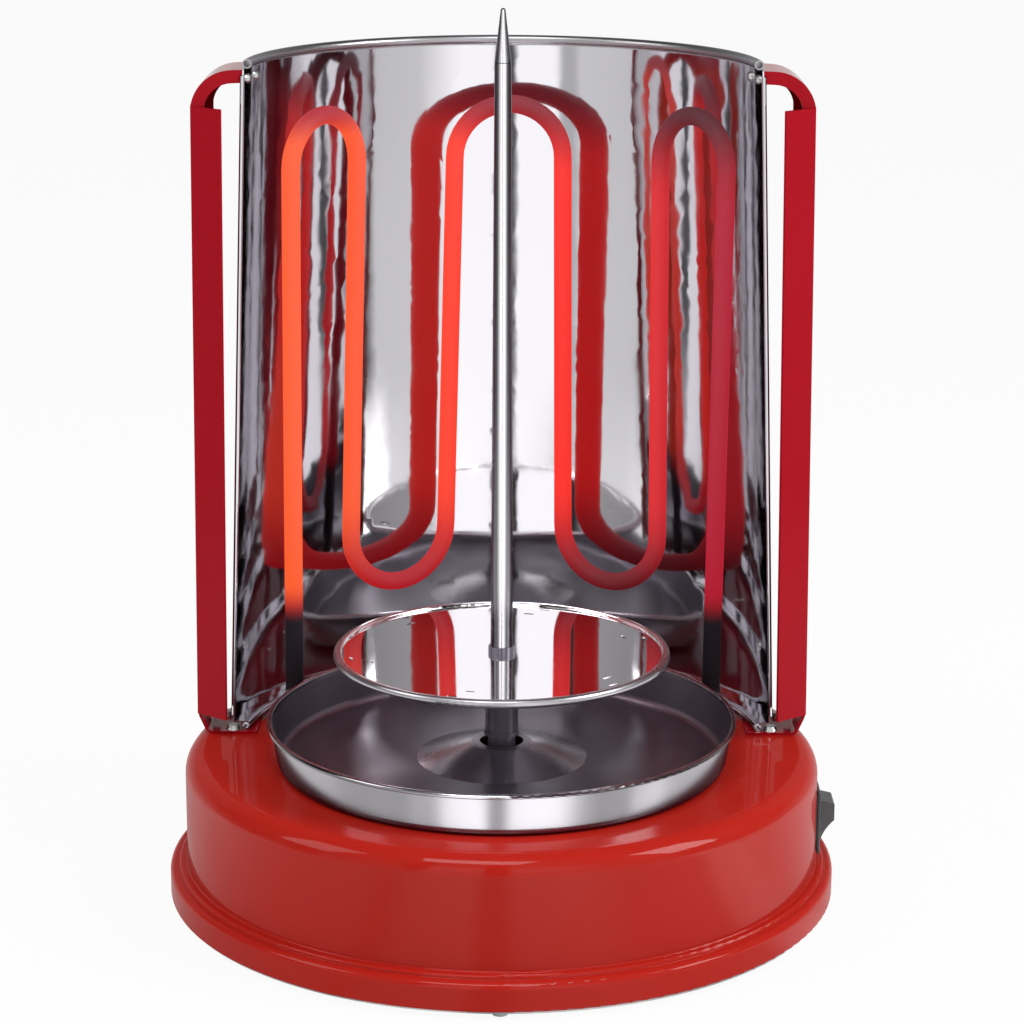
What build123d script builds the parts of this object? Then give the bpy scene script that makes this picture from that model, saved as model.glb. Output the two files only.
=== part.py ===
from build123d import *
import os
from math import asin, cos, degrees, hypot, radians, sin, sqrt

# Electric skewer grill: a round lacquered base with a geared motor inside, a drip tray and a
# turning spit on top, and a tall polished reflector behind a serpentine heater, open to the front.
# Millimetres, +Z up, +X to the right, -Y to the front. The origin is on the table,
# under the centre of the round base.

os.makedirs("parts", exist_ok=True)

# ---------------------------------------------------------------- driving dimensions
FIT = 0.05                # radial play of a turned fit
GAP = 0.3                 # air between pieces that move past each other
SHEET = 1.0               # lacquered steel sheet of the base

# base
BASE_R = 145.0            # outer radius of the flange
FLANGE_H = 12.5
LEDGE_IN = 4.0            # narrow ledge between flange and wall
LEDGE_STEP = 1.8
WALL_IN = 7.5             # wall inside the flange
BASE_H = 62.5             # from the flange's lower edge to the flat top
SHOULDER_R = 8.5
LIP_W = 10.0              # turned-in lower edge that the bottom cover screws to

# bottom cover and feet
COVER_T = 0.8
COVER_MARGIN = 1.5        # cover edge inside the flange edge
FOOT_PROUD = 2.2          # feet below the cover
FOOT_R = 8.0
FOOT_IN = 27.0            # feet inside the flange
FOOT_COUNT = 4
VENT_COUNT = 16
VENT_L = 24.0
VENT_W = 4.0
VENT_RING_R = 62.0
COVER_SCREW_COUNT = 4
COVER_SCREW_R = 1.75

# spit axis and drip tray
AXIS_Y = -18.5            # the spit stands in front of the base's centre
TRAY_IN = 37.0            # rolled rim inside the base's wall radius
TRAY_H = 19.2
TRAY_T = 0.7
TRAY_BEAD_R = 1.1
TRAY_TAPER = 2.2          # how much narrower the tray is at its floor
TRAY_FLOOR_FILLET = 4.0
CONE_R = 36.5             # raised cone round the drive
CONE_H = 7.0
CONE_TOP_R = 12.5
CONE_HOLE_R = 9.4

# meat disc, sleeve and spit
DISC_TOP = 48.0           # disc face above the base's flat top
DISC_R = 71.8             # over the rolled rim
DISC_BEAD_R = 1.9
DISC_BEAD_DROP = 0.5      # bead centre below the disc's face
DISC_T = 0.8
SLOT_L = 4.6
SLOT_W = 1.4
SLOT_ANGLES = (17.0, 73.0, 130.0, 190.0, 252.0, 315.5)
SLOT_OUTER = 0.90         # pitch radii as shares of the disc's own radius
SLOT_INNER = 0.79
SLOT_SKEW_DEG = 5.0
SPIGOT_R = 4.0            # reduced foot of the rod inside the sleeve
SPIGOT_L = 15.0
ROD_FOOT_R = 4.85
ROD_TOP_R = 3.5
ROD_L = 250.0
STUD_R = 2.0              # screws the tip on
STUD_L = 8.0
TIP_L = 22.0
TIP_END_R = 1.0
RING_H = 2.8
RING_R = 5.7
RING_TEETH = 16
SLEEVE_R = 7.0
SLEEVE_FOOT_R = 7.5
SLEEVE_FOOT_H = 2.0

# drive
SPINDLE_R = 6.0
SPINDLE_SHOULDER = 11.0   # spindle shoulder above the flat top
SPINDLE_DEPTH = 17.0      # spindle below the flat top
PEG_SIDE = 8.0            # square peg that turns the sleeve
PEG_H = 18.5
BUSH_R = 8.0
BUSH_PROUD = 2.0
BUSH_FLANGE_R = 11.0
BUSH_FLANGE_H = 2.0
BUSH_BELOW = 4.0
MOTOR_DROP = 18.5         # gear case's top below the sheet of the flat top
MOTOR_R = 24.8
MOTOR_H = 20.0
GEAR_CASE_R = 25.0
GEAR_CASE_H = 6.0
GEAR_BOSS_R = 7.0
GEAR_BOSS_H = 1.5
EAR_X = 32.0              # motor screws either side of the axis
EAR_R = 6.0
EAR_T = 1.5
STANDOFF_R = 4.5
MOTOR_SCREW_R = 2.0
MOTOR_SCREW_L = 12.0
SHAFT_R = 3.5
SHAFT_FLAT = 1.0
SHAFT_L = 13.0
GRUB_R = 2.0
GRUB_DROP = 10.0          # grub screw below the flat top

# reflector: an oblique cone's wall, wider at its foot, open to the front
REFLECTOR_T = 0.6
REFLECTOR_H = 294.5       # from under the lower bead to over the upper bead
BEAD_R = 2.0
BEAD_PROUD = 0.15         # upper bead stands this far out of the wall
LOW_BEAD_IN = 5.3         # lower bead is rolled inwards, under the wall
HIGH_IN = 28.9            # outside of the wall at the top, inside the base's wall radius
HIGH_Y = 4.5
LOW_IN = 17.2             # and at the foot
LOW_Y = -7.8
FRONT_HIGH_Y = 11.5       # front edge at the top and at the foot
FRONT_LOW_Y = 14.0
HEM_R = 1.0
HEM_SHORT = 5.0           # hem stops this far inside the beads
BEAD_BORE_R = 1.4
BEAD_BORE_L = 5.0

# handles
STRAP_T = 1.2
STRAP_FRONT_Y = 12.0
STRAP_BACK_Y = 42.0
GRIP_HIGH_IN = 6.8        # outside of the grip, inside the base's wall radius, at its top
GRIP_LOW_IN = 3.8         # and at its foot
GRIP_HIGH_DROP = 19.9     # grip's top below the reflector's top
GRIP_LOW_UP = 9.5         # grip's foot above the flat top
NECK_IN = 10.5
NECK_DROP = 5.2
NECK_END_DROP = 4.1
NECK_BEND = 18.0
KNEE_BEND = 12.0
FOOT_BEND = 4.0
HANDLE_FOOT_IN = 8.0
HANDLE_FOOT_L = 22.0
FRONT_FLANGE_W = 13.2     # grip's front face, across
FRONT_FLANGE_RUN = 10.0   # and forwards
NECK_FLANGE_W = 5.5
REAR_FLANGE_W = 7.0
NECK_RUN_IN = 12.0        # neck is drawn this far inwards and trimmed to the reflector
TAB_H = 13.0
TAB_T = 1.0
HANDLE_SCREWS_IN = (11.0, 6.5)   # screws inside the foot's outer edge
HANDLE_SCREWS_Y = (15.8, 35.0)
HANDLE_SCREW_R = 1.75
RIVET_R = 1.6
RIVET_HEAD_R = 2.6
RIVET_HEAD_H = 1.2
RIVET_YS = (21.0, 33.0)
RIVET_DROP = 9.0          # rivets below the reflector's top

# rear clips
CLIP_ANGLE_DEG = 35.0
CLIP_W = 14.0
CLIP_H = 15.0
CLIP_L = 11.0
CLIP_T = 1.0
CLIP_SCREW_OUT = 6.5
CLIP_RIVET_UP = 10.5

# heater
HEATER_R = 4.0
HEATER_IN = 40.5          # the legs' circle inside the base's wall radius
HEATER_Y = 5.0
HALF_STEP_DEG = 14.6      # half the angle between neighbouring legs
HEATER_TOP = 268.0        # upper bends' centre line above the flat top
HEATER_LOW = 51.0         # lower bends' centre line above the flat top
HEATER_END = 19.5         # cold ends reach this far below the flat top
HEATER_BUSH_R = 7.5
HEATER_BUSH_H = 2.4
HEATER_THREAD_R = 6.5
HEATER_THREAD_L = 11.0
HEATER_NUT_AF = 17.0
HEATER_NUT_H = 5.0
SEAL_H = 5.0
PIN_R = 1.25
PIN_ROOT = 4.0            # pin inside the tube's end
PIN_NECK = 3.0            # pin between seal and spade
SPADE_W = 6.3
SPADE_T = 0.8
SPADE_L = 8.0

# switch
SWITCH_Z = 34.0
SWITCH_Y = -4.0
BEZEL_H = 27.8
BEZEL_W = 20.0
BEZEL_T = 1.3
SWITCH_BODY_H = 25.4
SWITCH_BODY_W = 17.6
SWITCH_BODY_L = 15.0
POCKET_H = 22.0
POCKET_W = 14.6
POCKET_L = 9.5
ROCKER_W = 14.0
ROCKER_R = 10.4           # rounded ends about the pivot
ROCKER_PIVOT = 4.0        # pivot behind the bezel's face
ROCKER_PROUD = 6.2
ROCKER_BACK = 1.2         # flat back behind the pivot
PIVOT_PIN_R = 1.25
PIVOT_PIN_L = 1.0
TAB_PITCH = 7.5           # spades above and below the middle
SPADE_ROOT = 3.0

# cord inlet and terminal block
INLET_Z = 30.0
INLET_R = 7.0
INLET_FLANGE_R = 9.5
INLET_FLANGE_T = 3.0
INLET_BORE_R = 3.6
INLET_L = 9.0
BLOCK_Y = 90.0
BLOCK_SIZE = (32.0, 18.0, 14.0)
BLOCK_WAYS = 3
BLOCK_PITCH = 9.5
BLOCK_SCREW_R = 1.5
BLOCK_BORE_R = 1.6
BLOCK_BORE_L = 6.0
EARTH_X = 34.0
EARTH_RING_R = 4.5
EARTH_RING_T = 1.6
WIRE_R = 1.25
WIRE_BEND = 4.0
WIRE_LOW_Z = 15.0         # lowest run of the wires
WIRE_STUB = 10.0          # straight run out of a switch receptacle
WIRE_SLOPE = 34.0         # where the feed starts down to the switch
WIRE_LANES = (20.0, 14.0, 8.0)   # runs in front of the terminal block, live, neutral, earth
WIRE_SWING = 18.0         # low run beside a heater leg
WIRE_TURN_IN = 22.0
LEAD_STUB = 12.0
CRIMP_W = 7.8
CRIMP_T = 2.6
CRIMP_L = 8.0
CRIMP_FLOOR = 1.0

# small screws
HEAD_R = 3.2
HEAD_H = 2.0
SCREW_L = 8.0

# ---------------------------------------------------------------- worked-out places
FLANGE_Z = FOOT_PROUD + COVER_T
FLANGE_TOP = FLANGE_Z + FLANGE_H
LEDGE_Z = FLANGE_TOP + LEDGE_STEP
TOP_Z = FLANGE_Z + BASE_H
CEILING = TOP_Z - SHEET
LEDGE_R = BASE_R - LEDGE_IN
WALL_R = BASE_R - WALL_IN
FOOT_RING_R = BASE_R - FOOT_IN
TRAY_R = WALL_R - TRAY_IN
HIGH_R = WALL_R - HIGH_IN
LOW_R = WALL_R - LOW_IN
HEATER_PITCH_R = WALL_R - HEATER_IN
COVER_R = BASE_R - COVER_MARGIN
COVER_SCREW_RING_R = BASE_R - SHEET - LIP_W / 2
TRAY_Z = TOP_Z + GAP
DISC_Z = TOP_Z + DISC_TOP
DISC_UNDER = DISC_Z - DISC_T
DISC_BEAD_PR = DISC_R - DISC_BEAD_R
SHOULDER_Z = TOP_Z + SPINDLE_SHOULDER
PEG_TOP = SHOULDER_Z + PEG_H
SLEEVE_Z = SHOULDER_Z + GAP
SOCKET_SIDE = PEG_SIDE + 4 * FIT
ROD_TOP = DISC_Z + ROD_L
MOTOR_TOP = CEILING - MOTOR_DROP
SPINDLE_BOTTOM = TOP_Z - SPINDLE_DEPTH
BORE_TOP = MOTOR_TOP + GEAR_BOSS_H + SHAFT_L + 1.0
GRUB_Z = TOP_Z - GRUB_DROP
REFLECTOR_Z = TOP_Z + STRAP_T + 0.2
REFLECTOR_TOP = REFLECTOR_Z + REFLECTOR_H
LOW_BEAD_Z = REFLECTOR_Z + BEAD_R
HIGH_BEAD_Z = REFLECTOR_TOP - BEAD_R
WALL_LOW_Z = LOW_BEAD_Z + BEAD_R - REFLECTOR_T - 0.2
GRIP_HIGH_X = WALL_R - GRIP_HIGH_IN
GRIP_LOW_X = WALL_R - GRIP_LOW_IN
GRIP_HIGH_Z = REFLECTOR_TOP - GRIP_HIGH_DROP
GRIP_LOW_Z = TOP_Z + GRIP_LOW_UP
NECK_X = WALL_R - NECK_IN
NECK_Z = REFLECTOR_TOP - NECK_DROP
NECK_END_Z = REFLECTOR_TOP - NECK_END_DROP
HANDLE_FOOT_X = WALL_R - HANDLE_FOOT_IN
UPPER_BEND_Z = TOP_Z + HEATER_TOP
LOWER_BEND_Z = TOP_Z + HEATER_LOW
HEATER_BOTTOM = TOP_Z - HEATER_END
BEND_R = HEATER_PITCH_R * sin(radians(HALF_STEP_DEG))
BEZEL_X = WALL_R + BEZEL_T
PIVOT_X = BEZEL_X - ROCKER_PIVOT

axis_line = Axis((0, AXIS_Y, 0), (0, 0, 1))
LEG_STEPS = (-5, -3, -1, 1, 3, 5)


def polar(radius, angle):
    return radius * cos(radians(angle)), radius * sin(radians(angle))


def leg_xy(step):
    """Place of a heater leg, counted in half steps from straight back."""
    angle = radians(step * HALF_STEP_DEG)
    return HEATER_PITCH_R * sin(angle), HEATER_Y + HEATER_PITCH_R * cos(angle)


def wall_at(z):
    """Radius and centre of the reflector's outside at height z."""
    share = (z - LOW_BEAD_Z) / (HIGH_BEAD_Z - LOW_BEAD_Z)
    return LOW_R + share * (HIGH_R - LOW_R), LOW_Y + share * (HIGH_Y - LOW_Y)


def wall_body(grow, low_z=LOW_BEAD_Z, high_z=HIGH_BEAD_Z):
    """Everything inside the reflector's outer face, grown by grow."""
    with BuildPart() as body:
        for z in (low_z, high_z):
            radius, centre_y = wall_at(z)
            with BuildSketch(Plane.XY.offset(z)):
                # the circles' seam faces the open front
                with Locations(Location((0, centre_y, 0), -90)):
                    Circle(radius + grow)
        loft(ruled=True)
    return body.part


def wall_plane(z, bearing):
    """Plane on the reflector's outside at height z, facing outwards, bearing in degrees from +X."""
    radius, centre_y = wall_at(z)
    rise = HIGH_BEAD_Z - LOW_BEAD_Z
    east, north = polar(1.0, bearing)
    lean = ((LOW_R - HIGH_R) - (HIGH_Y - LOW_Y) * north) / rise
    return Plane(origin=(radius * east, centre_y + radius * north, z), z_dir=(east, north, lean))


def mirrored_plane(plane):
    """The same plane on the other side."""
    origin, normal = plane.origin, plane.z_dir
    return Plane(origin=(-origin.X, origin.Y, origin.Z), z_dir=(-normal.X, normal.Y, normal.Z))


def wire_run(points):
    """Insulated wire along the points, with rounded corners."""
    with BuildPart() as run:
        with BuildLine() as route:
            FilletPolyline(*points, radius=WIRE_BEND)
        path = route.wire()
        with BuildSketch(Plane(origin=path @ 0, z_dir=path % 0)):
            Circle(WIRE_R)
        sweep(path=path)
    return run.part


def receptacle(plane):
    """Crimped push-on receptacle, its wire end in the plane, the spade coming from the front."""
    with BuildPart() as crimp:
        with Locations(plane):
            Box(CRIMP_W, CRIMP_T, CRIMP_L, align=(Align.CENTER, Align.CENTER, Align.MIN))
        with Locations(plane.offset(CRIMP_FLOOR - FIT)):
            Box(
                SPADE_W + 2 * FIT,
                SPADE_T + 2 * FIT,
                CRIMP_L,
                align=(Align.CENTER, Align.CENTER, Align.MIN),
                mode=Mode.SUBTRACT,
            )
    return crimp.part


LEFT_LEG, RIGHT_LEG = leg_xy(LEG_STEPS[0]), leg_xy(LEG_STEPS[-1])
handle_screws_right = [(HANDLE_FOOT_X - inset, y) for inset, y in zip(HANDLE_SCREWS_IN, HANDLE_SCREWS_Y)]
handle_screw_places = [(side * x, y) for side in (-1, 1) for x, y in handle_screws_right]
clip_bearing = 90 - CLIP_ANGLE_DEG
clip_radius, clip_centre_y = wall_at(TOP_Z + CLIP_H / 2)
clip_x = clip_radius * cos(radians(clip_bearing))
clip_y = clip_centre_y + clip_radius * sin(radians(clip_bearing))
clip_screw_x = clip_x + CLIP_SCREW_OUT * cos(radians(clip_bearing))
clip_screw_y = clip_y + CLIP_SCREW_OUT * sin(radians(clip_bearing))
clip_screw_places = [(side * clip_screw_x, clip_screw_y) for side in (-1, 1)]

rivet_planes = [wall_plane(TOP_Z + CLIP_RIVET_UP, clip_bearing)]
for rivet_y in RIVET_YS:
    rivet_wall_r, rivet_wall_y = wall_at(REFLECTOR_TOP - RIVET_DROP)
    rivet_bearing = degrees(asin((rivet_y - rivet_wall_y) / rivet_wall_r))
    rivet_planes.append(wall_plane(REFLECTOR_TOP - RIVET_DROP, rivet_bearing))

# ---------------------------------------------------------------- base housing
with BuildPart() as base_housing:
    with BuildSketch(Plane.XZ):
        with BuildLine():
            outside = FilletPolyline(
                (0, TOP_Z),
                (WALL_R, TOP_Z),
                (WALL_R, LEDGE_Z),
                (LEDGE_R, LEDGE_Z),
                (LEDGE_R, FLANGE_TOP),
                (BASE_R, FLANGE_TOP),
                (BASE_R, FLANGE_Z),
                (BASE_R - LIP_W, FLANGE_Z),
                radius=(SHOULDER_R, 0.8, 1.2, 0.4, 2.8, 1.2),
            )
            offset(outside, amount=SHEET, side=Side.RIGHT)
        make_face()
    revolve(axis=Axis.Z)
    # drive bush, heater bushes, handle and clip screws through the flat top
    with Locations((0, AXIS_Y, TOP_Z)):
        Hole(BUSH_R + FIT, depth=2 * SHEET)
    with Locations((*LEFT_LEG, TOP_Z), (*RIGHT_LEG, TOP_Z)):
        Hole(HEATER_THREAD_R + FIT, depth=2 * SHEET)
    with Locations(*[(x, y, TOP_Z) for x, y in handle_screw_places + clip_screw_places]):
        Hole(HANDLE_SCREW_R + FIT, depth=2 * SHEET)
    # switch opening in the right-hand wall
    with Locations((WALL_R, SWITCH_Y, SWITCH_Z)):
        Box(8 * SHEET, SWITCH_BODY_W + 2 * FIT, SWITCH_BODY_H + 2 * FIT, mode=Mode.SUBTRACT)
    # cord inlet in the rear wall
    with Locations(Plane(origin=(0, WALL_R, INLET_Z), z_dir=(0, 1, 0))):
        Cylinder(INLET_R + FIT, 8 * SHEET, mode=Mode.SUBTRACT)
    # terminal block's and earth screw
    with Locations(*[(x, BLOCK_Y, TOP_Z) for x in (-BLOCK_PITCH / 2, BLOCK_PITCH / 2, -EARTH_X)]):
        Hole(BLOCK_SCREW_R + FIT, depth=2 * SHEET)
    # bottom cover's screws in the turned-in lip
    with Locations(Plane.XY.offset(FLANGE_Z)):
        with PolarLocations(COVER_SCREW_RING_R, COVER_SCREW_COUNT):
            Cylinder(COVER_SCREW_R + FIT, 4 * SHEET, mode=Mode.SUBTRACT)
base_housing.part.label = "base_housing"
export_step(base_housing.part, "parts/base_housing.step")

# ---------------------------------------------------------------- bottom cover
with BuildPart() as bottom_cover:
    with BuildSketch(Plane.XY.offset(FOOT_PROUD)):
        Circle(COVER_R)
        with PolarLocations(FOOT_RING_R, FOOT_COUNT, start_angle=45):
            Circle(FOOT_R / 2, mode=Mode.SUBTRACT)
        with PolarLocations(COVER_SCREW_RING_R, COVER_SCREW_COUNT):
            Circle(COVER_SCREW_R + FIT, mode=Mode.SUBTRACT)
        with PolarLocations(VENT_RING_R, VENT_COUNT):
            SlotOverall(VENT_L, VENT_W, mode=Mode.SUBTRACT)
    extrude(amount=COVER_T)
bottom_cover.part.label = "bottom_cover"
export_step(bottom_cover.part, "parts/bottom_cover.step")

# rubber feet: pad below the cover, neck through it, head above it
with BuildPart() as rubber_feet:
    with PolarLocations(FOOT_RING_R, FOOT_COUNT, start_angle=45):
        Cone(FOOT_R - 0.8, FOOT_R, FOOT_PROUD, align=(Align.CENTER, Align.CENTER, Align.MIN))
        Cylinder(FOOT_R / 2 - FIT, FOOT_PROUD + COVER_T, align=(Align.CENTER, Align.CENTER, Align.MIN))
    with Locations(Plane.XY.offset(FLANGE_Z)):
        with PolarLocations(FOOT_RING_R, FOOT_COUNT, start_angle=45):
            Cone(FOOT_R * 0.7, FOOT_R * 0.4, 3.0, align=(Align.CENTER, Align.CENTER, Align.MIN))
rubber_feet.part.label = "rubber_feet"
export_step(rubber_feet.part, "parts/rubber_feet.step")

with BuildPart() as cover_screws:
    with Locations(Plane.XY.offset(FOOT_PROUD)):
        with PolarLocations(COVER_SCREW_RING_R, COVER_SCREW_COUNT):
            Cylinder(HEAD_R, HEAD_H * 0.9, align=(Align.CENTER, Align.CENTER, Align.MAX))
            Cylinder(COVER_SCREW_R, SCREW_L, align=(Align.CENTER, Align.CENTER, Align.MIN))
cover_screws.part.label = "cover_screws"
export_step(cover_screws.part, "parts/cover_screws.step")

# ---------------------------------------------------------------- geared motor
motor_plane = Plane((0, AXIS_Y, MOTOR_TOP))
with BuildPart() as gear_case:
    with BuildSketch(motor_plane):
        Circle(GEAR_CASE_R)
    extrude(amount=-GEAR_CASE_H)
    with BuildSketch(motor_plane):
        SlotCenterToCenter(2 * EAR_X, 2 * EAR_R)
    extrude(amount=-EAR_T)
    with BuildSketch(motor_plane):
        Circle(GEAR_BOSS_R)
    extrude(amount=GEAR_BOSS_H)
    with BuildSketch(motor_plane):
        with Locations((-EAR_X, 0), (EAR_X, 0)):
            Circle(MOTOR_SCREW_R + FIT)
    extrude(amount=-EAR_T, mode=Mode.SUBTRACT)
    with BuildSketch(motor_plane):
        Circle(SHAFT_R + FIT)
    extrude(amount=GEAR_BOSS_H, mode=Mode.SUBTRACT)
gear_case.part.label = "gear_case"
export_step(gear_case.part, "parts/gear_case.step")

with BuildPart() as motor_can:
    with BuildSketch(motor_plane.offset(-GEAR_CASE_H)):
        Circle(MOTOR_R)
    extrude(amount=-MOTOR_H)
    fillet(motor_can.edges().sort_by(Axis.Z)[0], 2.0)
motor_can.part.label = "motor_can"
export_step(motor_can.part, "parts/motor_can.step")

with BuildPart() as motor_standoffs:
    with BuildSketch(motor_plane):
        with Locations((-EAR_X, 0), (EAR_X, 0)):
            RegularPolygon(STANDOFF_R, 6)
            Circle(MOTOR_SCREW_R + FIT, mode=Mode.SUBTRACT)
    extrude(amount=MOTOR_DROP)
motor_standoffs.part.label = "motor_standoffs"
export_step(motor_standoffs.part, "parts/motor_standoffs.step")

with BuildPart() as motor_screws:
    with Locations((-EAR_X, AXIS_Y, MOTOR_TOP - EAR_T), (EAR_X, AXIS_Y, MOTOR_TOP - EAR_T)):
        Cylinder(MOTOR_SCREW_R, MOTOR_SCREW_L, align=(Align.CENTER, Align.CENTER, Align.MIN))
        Cylinder(HEAD_R, HEAD_H, align=(Align.CENTER, Align.CENTER, Align.MAX))
motor_screws.part.label = "motor_screws"
export_step(motor_screws.part, "parts/motor_screws.step")

# ---------------------------------------------------------------- drive train
with BuildPart() as output_shaft:
    with BuildSketch(motor_plane):
        Circle(SHAFT_R)
    extrude(amount=GEAR_BOSS_H + SHAFT_L)
    with BuildSketch(motor_plane.offset(GEAR_BOSS_H)):
        with Locations((SHAFT_R, 0)):
            Rectangle(2 * SHAFT_FLAT, 2 * SHAFT_R)
    extrude(amount=SHAFT_L, mode=Mode.SUBTRACT)
output_shaft.part.label = "output_shaft"
export_step(output_shaft.part, "parts/output_shaft.step")

with BuildPart() as shaft_bush:
    with BuildSketch(Plane((0, AXIS_Y, CEILING - BUSH_BELOW))):
        Circle(BUSH_R)
    extrude(amount=BUSH_BELOW + SHEET + BUSH_PROUD)
    with BuildSketch(Plane((0, AXIS_Y, CEILING))):
        Circle(BUSH_FLANGE_R)
    extrude(amount=-BUSH_FLANGE_H)
    with BuildSketch(Plane((0, AXIS_Y, CEILING - BUSH_BELOW))):
        Circle(SPINDLE_R + FIT)
    extrude(amount=BUSH_BELOW + SHEET + BUSH_PROUD, mode=Mode.SUBTRACT)
shaft_bush.part.label = "shaft_bush"
export_step(shaft_bush.part, "parts/shaft_bush.step")

with BuildPart() as drive_spindle:
    with BuildSketch(Plane((0, AXIS_Y, SPINDLE_BOTTOM))):
        Circle(SPINDLE_R)
    extrude(amount=SHOULDER_Z - SPINDLE_BOTTOM)
    with BuildSketch(Plane((0, AXIS_Y, SHOULDER_Z))):
        Rectangle(PEG_SIDE, PEG_SIDE)
    extrude(amount=PEG_H)
    chamfer(drive_spindle.faces().sort_by(Axis.Z)[-1].edges(), 1.0)
    with BuildSketch(Plane((0, AXIS_Y, SPINDLE_BOTTOM))):
        Circle(SHAFT_R + FIT)
    extrude(amount=BORE_TOP - SPINDLE_BOTTOM, mode=Mode.SUBTRACT)
    with Locations(Plane(origin=(0, AXIS_Y, GRUB_Z), z_dir=(1, 0, 0))):
        Cylinder(
            GRUB_R + FIT, SPINDLE_R + 1, align=(Align.CENTER, Align.CENTER, Align.MIN), mode=Mode.SUBTRACT
        )
drive_spindle.part.label = "drive_spindle"
export_step(drive_spindle.part, "parts/drive_spindle.step")

grub_start = SHAFT_R - SHAFT_FLAT
with BuildPart() as spindle_screw:
    with Locations(Plane(origin=(grub_start, AXIS_Y, GRUB_Z), z_dir=(1, 0, 0))):
        Cylinder(GRUB_R, SPINDLE_R - grub_start - 0.4, align=(Align.CENTER, Align.CENTER, Align.MIN))
spindle_screw.part.label = "spindle_screw"
export_step(spindle_screw.part, "parts/spindle_screw.step")

# ---------------------------------------------------------------- spit
with BuildPart() as spit_sleeve:
    with BuildSketch(Plane((0, AXIS_Y, SLEEVE_Z))):
        Circle(SLEEVE_R)
    extrude(amount=DISC_UNDER - SLEEVE_Z)
    with BuildSketch(Plane((0, AXIS_Y, SLEEVE_Z))):
        Circle(SLEEVE_FOOT_R)
    extrude(amount=SLEEVE_FOOT_H)
    with BuildSketch(Plane((0, AXIS_Y, SLEEVE_Z))):
        Rectangle(SOCKET_SIDE, SOCKET_SIDE)
    extrude(amount=PEG_H + 1.0 - GAP, mode=Mode.SUBTRACT)
    with BuildSketch(Plane((0, AXIS_Y, DISC_UNDER))):
        Circle(SPIGOT_R + FIT)
    extrude(amount=-(SPIGOT_L - DISC_T), mode=Mode.SUBTRACT)
spit_sleeve.part.label = "spit_sleeve"
export_step(spit_sleeve.part, "parts/spit_sleeve.step")

with BuildPart() as meat_disc:
    with BuildSketch(Plane((0, AXIS_Y, DISC_UNDER))):
        Circle(DISC_BEAD_PR)
        Circle(SPIGOT_R + FIT, mode=Mode.SUBTRACT)
        for share, skew in ((SLOT_OUTER, 0.0), (SLOT_INNER, SLOT_SKEW_DEG)):
            for angle in SLOT_ANGLES:
                with Locations(Location((*polar(share * DISC_R, angle + skew), 0), angle + skew + 90)):
                    SlotOverall(SLOT_L, SLOT_W, mode=Mode.SUBTRACT)
    extrude(amount=DISC_T)
    with Locations((0, AXIS_Y, DISC_Z - DISC_BEAD_DROP)):
        Torus(DISC_BEAD_PR, DISC_BEAD_R)
meat_disc.part.label = "meat_disc"
export_step(meat_disc.part, "parts/meat_disc.step")

with BuildPart() as spit_rod:
    with BuildSketch(Plane.XZ.offset(-AXIS_Y)):
        with BuildLine():
            Polyline(
                (0, DISC_Z - SPIGOT_L),
                (SPIGOT_R, DISC_Z - SPIGOT_L),
                (SPIGOT_R, DISC_Z),
                (ROD_FOOT_R, DISC_Z),
                (ROD_TOP_R, ROD_TOP),
                (STUD_R, ROD_TOP),
                (STUD_R, ROD_TOP + STUD_L),
                (0, ROD_TOP + STUD_L),
                close=True,
            )
        make_face()
    revolve(axis=axis_line)
spit_rod.part.label = "spit_rod"
export_step(spit_rod.part, "parts/spit_rod.step")

with BuildPart() as spit_tip:
    with BuildSketch(Plane.XZ.offset(-AXIS_Y)):
        with BuildLine():
            Polyline(
                (0, ROD_TOP + STUD_L + 0.5),
                (STUD_R + FIT, ROD_TOP + STUD_L + 0.5),
                (STUD_R + FIT, ROD_TOP),
                (ROD_TOP_R - 0.3, ROD_TOP),
                (ROD_TOP_R, ROD_TOP + 0.3),
                (TIP_END_R, ROD_TOP + TIP_L - TIP_END_R / 2),
                (TIP_END_R / 2, ROD_TOP + TIP_L),
                (0, ROD_TOP + TIP_L),
                close=True,
            )
        make_face()
    revolve(axis=axis_line)
spit_tip.part.label = "spit_tip"
export_step(spit_tip.part, "parts/spit_tip.step")

with BuildPart() as lock_ring:
    with BuildSketch(Plane((0, AXIS_Y, DISC_Z))):
        Circle(RING_R - 0.5)
        with PolarLocations(RING_R - 0.5, RING_TEETH):
            RegularPolygon(0.5, 3)
        Circle(ROD_FOOT_R + FIT, mode=Mode.SUBTRACT)
    extrude(amount=RING_H)
lock_ring.part.label = "lock_ring"
export_step(lock_ring.part, "parts/lock_ring.step")

# ---------------------------------------------------------------- drip tray
tray_floor_r = TRAY_R - 2 * TRAY_BEAD_R - TRAY_TAPER
tray_wall_r = TRAY_R - 2 * TRAY_BEAD_R + TRAY_T
with BuildPart() as drip_tray:
    with BuildSketch(Plane.XZ.offset(-AXIS_Y)):
        with BuildLine():
            underside = FilletPolyline(
                (CONE_HOLE_R, TRAY_Z + CONE_H),
                (CONE_TOP_R, TRAY_Z + CONE_H),
                (CONE_R, TRAY_Z),
                (tray_floor_r, TRAY_Z),
                (tray_wall_r, TRAY_Z + TRAY_H - TRAY_BEAD_R),
                radius=(6.0, 2.0, TRAY_FLOOR_FILLET),
            )
            offset(underside, amount=TRAY_T, side=Side.LEFT)
        make_face()
    revolve(axis=axis_line)
    with Locations((0, AXIS_Y, TRAY_Z + TRAY_H - TRAY_BEAD_R)):
        Torus(TRAY_R - TRAY_BEAD_R, TRAY_BEAD_R)
drip_tray.part.label = "drip_tray"
export_step(drip_tray.part, "parts/drip_tray.step")

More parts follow.
